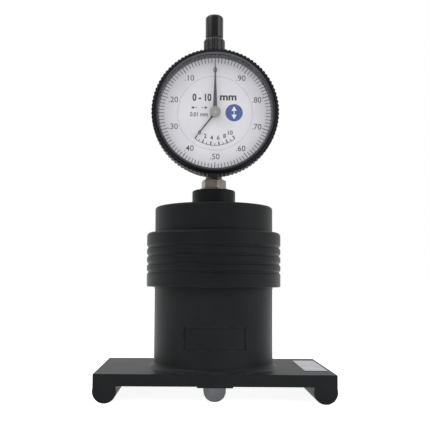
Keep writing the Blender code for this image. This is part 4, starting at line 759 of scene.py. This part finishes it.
def grip_ring():
    """The ring round the tube, with its grooves."""
    outline = [(RING_BORE, RING_TOP, 0.2), (RING_RADIUS, RING_TOP, 1.5)]
    for groove in range(GROOVES):
        middle = GROOVE_TOP - groove * GROOVE_PITCH
        outline += [(radius, middle + rise, size) for radius, rise, size in GROOVE]
    outline += [(RING_RADIUS, RING_LOW, 0.5), (RING_BORE, RING_LOW)]
    ring = turned("grip", outline, WIDE_SIDES)
    finish(ring, ring_black, "housing", "black_anodised", "grip_ring")


def top_cover():
    piece = turned("cover", COVER_OUTLINE, WIDE_SIDES)
    finish(piece, enamel, "housing", "black_enamel", "top_cover")


CLOSED_PITCH = 2.05  # of a spring's end turns, in radii of its wire


def coil(name, radius, wire, low, high, turns, end_turns=1, steps=24, sides=10):
    """A compression spring: a circle drawn round the axis, closer together in its end turns."""
    circle(sides, wire, (radius, 0, low), turn=(QUARTER_TURN, 0, 0))
    piece = settle(named(name))
    edit_all()
    passed = [(step + 0.5) / steps for step in range(turns * steps)]
    closed = [min(turn, turns - turn) < end_turns for turn in passed]
    closed_rise = CLOSED_PITCH * wire / steps
    open_rise = (high - low - closed_rise * closed.count(True)) / closed.count(False)
    for is_closed in closed:
        draw_out(closed_rise if is_closed else open_rise)
        swing(FULL_TURN / steps)
    face_outwards()
    leave()
    return piece


def springs():
    """The two springs that stretch. Their start and end are told in metres."""
    spring = coil("pressure_spring", radius=10.5, wire=1, low=29.15, high=58.7, turns=8)
    finish(spring, hardened_steel, None, "spring_steel", "main_spring")
    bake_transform(spring)
    spring = coil("spindle_spring", 1, 0.2, low=117.3, high=129.5, turns=11, steps=16, sides=8)
    finish(move(spring, x=7.5), hardened_steel, None, "spring_steel", "return_spring")
    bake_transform(spring)


TAKEUP_X, TAKEUP_Z = 3.19, 10.53  # the hairspring's arbor, from the dial's centre


def hairspring(turns=6, steps=24, start=1.05, growth=0.4, wall=0.1, width=0.7, depth=6.3):
    """The flat spiral: one standing edge drawn round in a growing spiral, then given its wall."""
    place = (start * MM, 0, (depth + width / 2) * MM)
    deselect()
    bpy.ops.mesh.primitive_plane_add(size=width * MM, location=place, rotation=(QUARTER_TURN, 0, 0))
    piece = settle(named("spiral_spring"))
    edit(piece)
    pick("VERT", lambda v: v.co.x < start * MM)
    bpy.ops.mesh.delete(type="VERT")
    pick("EDGE", lambda edge: True)
    radius = start + width / 2
    for step in range(turns * steps):
        longer = start + growth * (step + 1) / steps
        draw_out()
        swing(FULL_TURN / steps)
        widen(longer / radius)
        radius = longer
    leave()
    apply_change(piece, "SOLIDIFY", thickness=wall * MM, offset=0)
    move(face_front(piece), TAKEUP_X, 0, TAKEUP_Z)
    finish(piece, hardened_steel, "housing", "spring_steel", "hairspring")


# Nut, stem and gauge case.
NUT_CORNER, NUT_TURN = 10.7 / sqrt(3), 14.0
NUT_LOW, HEX_LOW, NUT_TOP, NUT_ROUND = 93.9, 98.7, 103, 6.45
CHAMFER = [(NUT_ROUND, 98.1), (NUT_ROUND, 102.2), (5.1, NUT_TOP)]
FLANGE = [(NUT_ROUND, NUT_LOW), (NUT_ROUND, 98), (6.7, 98, 0.1), (6.7, 98.8, 0.25)]
NUT_HOLE, STEM_HOLE, BOSS_HOLE = (4.05, 93, 104), (4.05, 104, 112), (3.3, 154, 162)
STEM_OUTLINE = [(2.5, 83.6), (4, 83.6, 0.5), (4, 109), (2.5, 109)]
CASE_OUTLINE = [(23.6, 11.9), (27.7, 11.9, 0.2), (27.7, 8), (27.1, -8, 0.8), (23.6, -8)]
BACK_OUTLINE = [
    (23.3, -7.1), (23.3, -8.3), (27.1, -8.3, 0.15), (27.1, -10.1, 0.8), (21.6, -10.1, 0.1),
    (21.2, -9.8, 0.1), (20.6, -9.8, 0.1), (20.2, -10.1, 0.1),
]
BACK_SCREW = [(0.8, -5.9), (0.8, -10.4), (1.4, -10.4, 0.05), (1.4, -11.2, 0.3)]
BACK_SCREW_SLOT = (-2, -0.2, -11.6), (2, 0.2, -10.8)
BACK_SCREW_CIRCLE, BACK_SCREW_HOLE = 25.65, 0.85
BACK_SCREW_TURNS = {45: 20, 135: 75, 225: -35, 315: 130}  # angle round the case: turn of its slot
SCREW_IN_CASE, SCREW_IN_BACK = (-9, -3.5), (-11, -6)


def clamp_nut():
    """A hexagon with its corners chamfered, on a round flange."""
    circle(6, NUT_CORNER, (0, 0, HEX_LOW))
    nut = named("nut")
    edit_all()
    draw_out(NUT_TOP - HEX_LOW)
    face_outwards()
    leave()
    settle(nut)
    move(nut, turn=(0, 0, NUT_TURN))
    combine(nut, turned("chamfer", CHAMFER, SMALL_SIDES, solid=True), "INTERSECT")
    combine(nut, turned("flange", FLANGE, ROUND_SIDES, solid=True), "UNION")
    drill(nut, *NUT_HOLE, sides=SMALL_SIDES)
    soften(nut, 0.18, angle=30)
    finish(nut, plated_nut, "housing", "bright_steel", "stem_clamp_nut")


def gauge_stem():
    stem = turned("stem", STEM_OUTLINE, ROUND_SIDES)
    finish(stem, stem_steel, "housing", "bright_steel", "gauge_stem")


def round_places(radius, angles):
    """Places on a circle, each turned by its own angle."""
    return [(radius * cos(radians(a)), radius * sin(radians(a)), a) for a in angles]


def gauge_case():
    """The case, its back and the four screws of the back."""
    centres = [place[:2] for place in round_places(BACK_SCREW_CIRCLE, BACK_SCREW_TURNS)]
    case = turned("case", CASE_OUTLINE, WIDE_SIDES)
    drill(case, BACK_SCREW_HOLE, *SCREW_IN_CASE, centres)
    face_front(case)
    drill(case, *STEM_HOLE, sides=SMALL_SIDES)
    drill(case, *BOSS_HOLE, sides=SMALL_SIDES)
    finish(case, case_black, "housing", "black_anodised", "gauge_case")
    cover = turned("case_back", BACK_OUTLINE, WIDE_SIDES, solid=True)
    drill(cover, BACK_SCREW_HOLE, *SCREW_IN_BACK, centres)
    finish(face_front(cover), case_black, "housing", "black_anodised", "back_cover")
    screw = turned("back_screw", BACK_SCREW, PIN_SIDES, solid=True)
    combine(screw, block("slot", *BACK_SCREW_SLOT))
    places = [(*centre, turn) for centre, turn in zip(centres, BACK_SCREW_TURNS.values())]
    for k, piece in enumerate(copies(screw, places), 1):
        piece.name = f"slotted_screw_{k}"
        finish(face_front(piece), bright_steel, "housing", "bright_steel", f"back_cover_screw_{k}")


# Bezel, crystal and dial.
KNURLS, KNURL_STEPS, KNURL_CREST = 96, 6, 29.9
KNURL_RADII = (((0,), 29.42), ((1, 5), 29.65), ((2, 4), 29.85))  # steps within a knurl, and their radius
BEZEL_OUTLINE = [
    (27.8, 8.4), (29, 8.4, 0.2), (29, 8.8), (KNURL_CREST, 9.1), (KNURL_CREST, 16.9), (29.1, 17.2),
    (28.7, 18.3, 0.3), (28.3, 18.6, 0.1), (27.8, 18.6, 0.12), (26.8, 18.3, 0.05), (26.8, 18.2),
    (27.4, 18.2), (27.4, 16.9), (26.8, 16.9, 0.1), (26.3, 13.5), (27.8, 13.5),
]
BEZEL_SIDES = KNURL_STEPS * KNURLS
BEZEL_FACE = 27.75  # the radius within which the bezel is polished, and painted a lighter grey as sheen
CRYSTAL_OUTLINE = [(27.25, 17, 0.15), (27.25, 18.1, 0.15)]
SHEET_SIDES = 128
SHEET_OUTLINE = [(1.8, 12.7), (27.4, 12.7, 0.1), (27.4, FRONT_OF_DIAL, 0.1), (1.8, FRONT_OF_DIAL)]


def bezel():
    """The turning ring. Every knurl is six steps round it, each drawn in to its own radius."""
    ring = turned("knurled_bezel", BEZEL_OUTLINE, BEZEL_SIDES)
    edit(ring)
    for steps, radius in KNURL_RADII:

        def in_groove(v):
            place = atan2(v.co.y, v.co.x) / FULL_TURN * BEZEL_SIDES
            return round(place) % KNURL_STEPS in steps and abs(v.co.xy.length - KNURL_CREST * MM) < NEAR

        pick("VERT", in_groove)
        widen(radius / KNURL_CREST)
    leave()
    finish(face_front(ring), bezel_black, "bezel_group", "black_anodised", "bezel")
    # The lip and inner wall take the lighter grey: painted sheen.
    ring.data.materials.append(bezel_face_painted_sheen)
    edit(ring)
    pick("FACE", on_bezel_face)
    ring.active_material_index = 1
    bpy.ops.object.material_slot_assign()
    leave()


def on_bezel_face(face):
    """Whether a face lies inside the bezel's front edge and before the dial."""
    x, y, z = face.calc_center_median() / MM
    return hypot(x, z - DIAL_CENTRE) < BEZEL_FACE and y < -FRONT_OF_DIAL


def crystal_and_sheet():
    piece = turned("crystal_disc", CRYSTAL_OUTLINE, WIDE_SIDES, solid=True)
    finish(face_front(piece), glass, "bezel_group", "clear_glass", "crystal")
    piece = turned("dial_sheet", SHEET_OUTLINE, SHEET_SIDES)
    finish(face_front(piece), dial_paint, "bezel_group", "dial_white", "dial_face")


# Print on the dial: every layer lies a little in front of the last.
PRINT_RISE, INK = 0.012, 0.01
PRINT_SIDES, TEXT_STEPS = 192, 4
TICK_END = 26.6
ARC_WIDTH, COUNTER_ARC, COUNTER_SPAN = 0.26, 15.4, 37.8
COUNTER_TICK_END = COUNTER_ARC - ARC_WIDTH / 2
INNER_CIRCLE = (17.65, 0.16)  # radius and width
DISC_RADIUS, DISC_PLACE, DISC_RISE = 4.1, (9, 0.2), 0.03
# Numbers round the dial: radius, size and weight.
NUMERALS, COUNTER_NUMERALS = (20.7, 3.85, 0.01), (11.8, 2.8, 0.05)
# Text, size, place across and up, width and weight.
DIAL_WORDS = [
    ("0 - 10", 4.7, -6.2, 7.5, 9, 0.16), ("mm", 4.7, 6.2, 7.3, 7.9, 0.16),
    ("0.01 mm", 2.8, -7.6, -0.6, 8.4, 0.05),
]
# Place across and up, length, width and turn.
RANGE_ARROWS = [(-8.4, 2.6, 2.9, 0.85, 90), (-6.4, 2.6, 2.9, 0.85, -90)]


def print_height(level=1):
    return FRONT_OF_DIAL + level * PRINT_RISE


def mark(width, length, y, level=1):
    """A printed stroke, upright and centred at y."""
    deselect()
    bpy.ops.mesh.primitive_plane_add(size=1, location=(0, y * MM, print_height(level) * MM))
    piece = bpy.context.object
    piece.scale = (width * MM, length * MM, 1)
    return settle(piece)


def ticks(width, length, end, angles):
    """A mark that ends at a radius, copied to every angle."""
    return copies(mark(width, length, end - length / 2), [(0, 0, angle) for angle in angles])


def printed_ring(radius, width, half_angle=180):
    """A thin printed circle, or its part within the angle from straight down."""
    inner, outer = radius - width / 2, radius + width / 2
    piece = circle(PRINT_SIDES, inner, (0, 0, print_height()), filled=False)
    edit_all()
    draw_out()
    bpy.ops.transform.resize(value=(outer / inner, outer / inner, 1))

    def outside(face):
        middle = face.calc_center_median()
        return abs(degrees(atan2(middle.x, -middle.y))) > half_angle

    pick("FACE", outside)
    bpy.ops.mesh.delete(type="FACE")
    face_outwards()
    pick("FACE", lambda face: face.normal.z < 0)
    bpy.ops.mesh.flip_normals()
    leave()
    return settle(piece)


def words(text, size, x, y, width=None, weight=0):
    """Printed characters, centred on a place and set to a width if one is given."""
    deselect()
    bpy.ops.object.text_add()
    piece = bpy.context.object
    piece.data.body, piece.data.offset = text, weight / size
    piece.data.resolution_u = TEXT_STEPS
    bpy.ops.object.convert(target="MESH")
    piece = bpy.context.object
    corners = [v.co * size for v in piece.data.vertices]
    low = Vector([min(c[k] for c in corners) for k in range(2)])
    high = Vector([max(c[k] for c in corners) for k in range(2)])
    stretch = width / (high.x - low.x) if width else 1.0
    middle = (low + high) / 2
    piece.scale = (stretch * size * MM, size * MM, 1)
    piece.location = Vector((x - middle.x * stretch, y - middle.y, print_height())) * MM
    return settle(piece)


def numerals(texts, angles, radius, size, weight):
    """Upright numbers round the dial. Angles run anticlockwise from the top."""
    places = [(-radius * sin(radians(a)), radius * cos(radians(a))) for a in angles]
    return [words(text, size, x, y, weight=weight) for text, (x, y) in zip(texts, places)]


def arrow(x, y, length, width, turn, level=1):
    """A printed arrow head on a thin stroke, pointing up before its turn."""
    head = settle(circle(3, width, (0, length - width, print_height(level))))
    stroke = length - 1.5 * width
    piece = joined("arrow", [head, mark(width / 4, stroke, stroke / 2, level)])
    return move(piece, x, y, 0, (0, 0, turn))


def printed(name, pieces):
    """Joins the marks of one print and gives the ink its thickness."""
    piece = joined(name, pieces)
    apply_change(piece, "SOLIDIFY", thickness=INK * MM, offset=-1)
    return face_front(piece)


def dial_print():
    """Divisions, numbers, the short hand's scale, the range, and the disc with two arrows."""
    tenths = [k * 36 for k in range(10)]
    black = ticks(0.34, 3.2, TICK_END, tenths)
    black += ticks(0.3, 2.6, TICK_END, [k * 3.6 for k in range(100) if k % 10])
    black += numerals(["0"] + [f".{k}0" for k in range(1, 10)], tenths, *NUMERALS)
    black.append(printed_ring(COUNTER_ARC, ARC_WIDTH, COUNTER_SPAN))
    angles = [180 + COUNTER_SPAN * (k / 5 - 1) for k in range(11)]
    black += ticks(0.56, 1.6, COUNTER_TICK_END, angles[::2])
    black += ticks(0.3, 1, COUNTER_TICK_END, angles[1::2])
    black += numerals([str(k) for k in range(0, 11, 2)], angles[::2], *COUNTER_NUMERALS)
    black += [words(*row) for row in DIAL_WORDS]
    black += [arrow(*row) for row in RANGE_ARROWS]
    finish(printed("dial_graduations", black), black_ink, "bezel_group", "hand_black")
    ring = printed("dial_circle", [printed_ring(*INNER_CIRCLE)])
    finish(ring, grey_ink, "bezel_group", "hand_black")
    front = FRONT_OF_DIAL
    disc = rod("direction_disc", DISC_RADIUS, front, front + DISC_RISE, ROUND_SIDES, DISC_PLACE)
    finish(face_front(disc), blue_ink, "bezel_group", "hand_black")
    arrows = [arrow(*DISC_PLACE, 3.1, 1.45, turn, 4) for turn in (0, 180)]
    finish(printed("direction_arrow", arrows), white_ink, "bezel_group", "dial_white")


HUB_OUTLINE = [
    (0.65, 15.2), (2.55, 15.2), (2.55, 16.6, 0.25), (2, 16.6, 0.05), (1.9, 16.45), (0.95, 16.45),
    (0.85, 16.55, 0.05), (0.65, 16.55),
]


def hand(name, length, root, tip, boss, bore, low, high, turn=0):
    """A hand that tapers from root to tip, with a round boss, bored for its arbor."""
    piece = block(name, (-root / 2, 0, low), (root / 2, length, high))
    edit(piece)
    pick("VERT", lambda v: v.co.y > length * MM / 2)
    bpy.ops.transform.resize(value=(tip / root, 1, 1))
    leave()
    combine(piece, rod("boss", boss, low, high, SMALL_SIDES), "UNION")
    drill(piece, bore, low - EXTRA, high + EXTRA)
    return face_front(move(piece, turn=(0, 0, turn)))


def hands():
    pointer = hand("long_pointer", 24.7, 2.1, 0.3, boss=2.25, bore=0.65, low=14.9, high=15.15)
    finish(pointer, hand_metal, "pointer_group", "spring_steel", "pointer")
    hub = turned("pointer_boss", HUB_OUTLINE, ROUND_SIDES)
    finish(face_front(hub), hub_metal, "pointer_group", "brass", "pointer_hub")
    back = 180 - COUNTER_SPAN
    counter = hand("short_hand", 15.2, 0.9, 0.3, boss=1.9, bore=1.1, low=13.8, high=14.05, turn=back)
    finish(counter, hand_paint, "counter_group", "hand_black", "counter_hand")


# Boss and cap on top, and the blank plate on the base.
FLUTES, FLUTE_CIRCLE, FLUTE_SIDES = 16, 5.75, 24
FLUTE = (0.85, 160, 174)
BOSS_SIDES = 9 * FLUTES
BOSS_OUTLINE = [
    (2.45, 177.4), (3.2, 177.4, 0.2), (3.2, 173.4), (4.4, 173.4, 0.1), (5.25, 172.1, 0.2), (5.25, 160.9),
    (3, 160.9), (3, 155.7), (2.45, 155.7),
]
CAP_OUTLINE = [
    (3.7, 182.9), (3.7, 173.7), (4.4, 173.7, 0.15), (4.4, 184.4, 1), (2.6, 185, 0.6), (0.6, 185.1)
]
LABEL_LOW, LABEL_HIGH, LABEL_THICK, LABEL_CORNER = (41.4, -17), (52, 19.2), 0.2, 0.8


def cap_boss():
    boss = turned("fluted_boss", BOSS_OUTLINE, BOSS_SIDES)
    angles = [360 * (k + 0.5) / FLUTES for k in range(FLUTES)]
    for cutter in copies(rod("flute", *FLUTE, FLUTE_SIDES), round_places(FLUTE_CIRCLE, angles)):
        combine(boss, cutter)
    finish(boss, boss_black, "housing", "black_anodised", "cap_boss")


def dust_cap():
    cap = turned("top_cap", CAP_OUTLINE, ROUND_SIDES, solid=True)
    finish(cap, gloss_black, "housing", "black_anodised", "dust_cap")


def label_plate():
    plate = block("blank_label", (*LABEL_LOW, PLATE_TOP), (*LABEL_HIGH, PLATE_TOP + LABEL_THICK))
    edit(plate)
    round_edges(lambda edge: abs(edge.verts[0].co.z - edge.verts[1].co.z) > NEAR, LABEL_CORNER)
    leave()
    finish(plate, label_metal, "housing", "bright_steel")


# The finish of pieces that keep the frame's shape, by the name of their first one.
NODE_FINISHES = {
    "bronze": bronze, "ground_aluminium": ground_aluminium, "spring_steel": hardened_steel,
    "bright_steel": bright_steel, "brass": brass,
}


def dress_nodes():
    for node in frame["nodes"].values():
        for place in node.material_slots:
            place.material = NODE_FINISHES.get(place.material.name, place.material)


# Floor, light and camera. Floor and lamps are given in metres.
WHITE = (1, 1, 1, 1)
FLOOR_SIZE, FLOOR_TINTS = 6.0, ((236, 237, 239), (232, 233, 235))
FLOOR_GLOW, GLOW_START, GLOW_END = 0.9, 0.1, 0.6  # it grows to full white away from the object
WORLD_LIGHT = 0.9
ROOM_FRONT = 0.24  # how bright the front of the room shows in gloss
LAMP_TARGET, LAMP_SIZE = (0, 0, 0.1), 0.7
SENSOR, FRAME_WIDTH = 36.0, 430
CAMERA_LENS = 641.4 / FRAME_WIDTH * SENSOR
CAMERA_SHIFT = (21.9 / FRAME_WIDTH, 29.59 / FRAME_WIDTH)
CAMERA_PLACE = (-9.97, -312.6, 55.01)
CAMERA_PITCH, CAMERA_ROLL = radians(3.0), radians(0.337)


def floor():
    """A pale floor that shows white to the eye and throws only a little light."""
    deselect()
    bpy.ops.mesh.primitive_plane_add(size=FLOOR_SIZE)
    piece = named("floor")
    material, tree, shader = new_material("pale_floor", Roughness=0.9, Specular_IOR_Level=0.1)
    where = place_of(tree)
    tint = mixed(tree, noise(tree, where, 12.0, 3.0), *(colour(*shade) for shade in FLOOR_TINTS))
    tree.links.new(tint, shader.inputs["Base Color"])
    path = add(tree, "LightPath").outputs
    mirrored = either(tree, path["Is Glossy Ray"], path["Is Transmission Ray"])
    seen = either(tree, path["Is Camera Ray"], mirrored)
    parts = part_of(tree, where)
    away = math_of(tree, "ADD", *(math_of(tree, "ABSOLUTE", parts[axis]) for axis in "XY"))
    glow = spread(tree, away, GLOW_START, GLOW_END, FLOOR_GLOW, 1.0)
    tree.links.new(times(tree, seen, glow), shader.inputs["Emission Strength"])
    shader.inputs["Emission Color"].default_value = WHITE
    piece.data.materials.append(material)


def world():
    """White to the eye and through glass; in gloss, white behind and above, dim in front."""
    sky = bpy.data.worlds.new("studio")
    sky.use_nodes = True
    bpy.context.scene.world = sky
    tree = sky.node_tree
    light = tree.nodes["Background"]
    path = add(tree, "LightPath").outputs
    towards = part_of(tree, add(tree, "TexCoord").outputs["Generated"])
    behind = spread(tree, towards["Y"], -0.35, 0.25, ROOM_FRONT, 1.0)
    above = spread(tree, towards["Z"], 0.3, 0.8, ROOM_FRONT, 1.0)
    in_gloss = times(tree, path["Is Glossy Ray"], either(tree, behind, above))
    seen = either(tree, path["Is Camera Ray"], path["Is Transmission Ray"])
    direct = either(tree, seen, in_gloss)
    other = math_of(tree, "SUBTRACT", 1.0, either(tree, seen, path["Is Glossy Ray"]))
    light.inputs["Color"].default_value = WHITE
    tree.links.new(math_of(tree, "MULTIPLY_ADD", other, WORLD_LIGHT, direct), light.inputs["Strength"])


def lamp(name, place, power):
    """A square lamp that faces the object."""
    deselect()
    bpy.ops.object.light_add(type="AREA", location=place)
    light = bpy.context.object
    light.name = light.data.name = name
    light.data.shape, light.data.size, light.data.energy = "SQUARE", LAMP_SIZE, power
    light.rotation_euler = (Vector(LAMP_TARGET) - Vector(place)).to_track_quat("-Z", "Y").to_euler()


def camera():
    data = bpy.data.cameras.new("camera")
    view = bpy.data.objects.new("camera", data)
    bpy.context.scene.collection.objects.link(view)
    data.sensor_width, data.lens = SENSOR, CAMERA_LENS
    data.shift_x, data.shift_y = CAMERA_SHIFT
    data.clip_start, data.clip_end = 0.01, 20.0
    view.location = Vector(CAMERA_PLACE) * MM
    upright = Matrix.Rotation(QUARTER_TURN + CAMERA_PITCH, 3, "X")
    view.rotation_euler = (upright @ Matrix.Rotation(CAMERA_ROLL, 3, "Z")).to_euler()
    bpy.context.scene.camera = view


for build in (
    base_plate, measuring_bar, base_screws, body_tube, grip_ring, top_cover, springs, hairspring,
    clamp_nut, gauge_stem, gauge_case, bezel, crystal_and_sheet, dial_print, hands, cap_boss,
    dust_cap, label_plate, dress_nodes, floor, world, camera,
):
    build()
lamp("key", (-0.75, -0.4, 0.9), 4.4)
lamp("fill", (1.0, -0.5, 0.5), 3.2)

scene = bpy.context.scene
scene.view_settings.view_transform = "Standard"
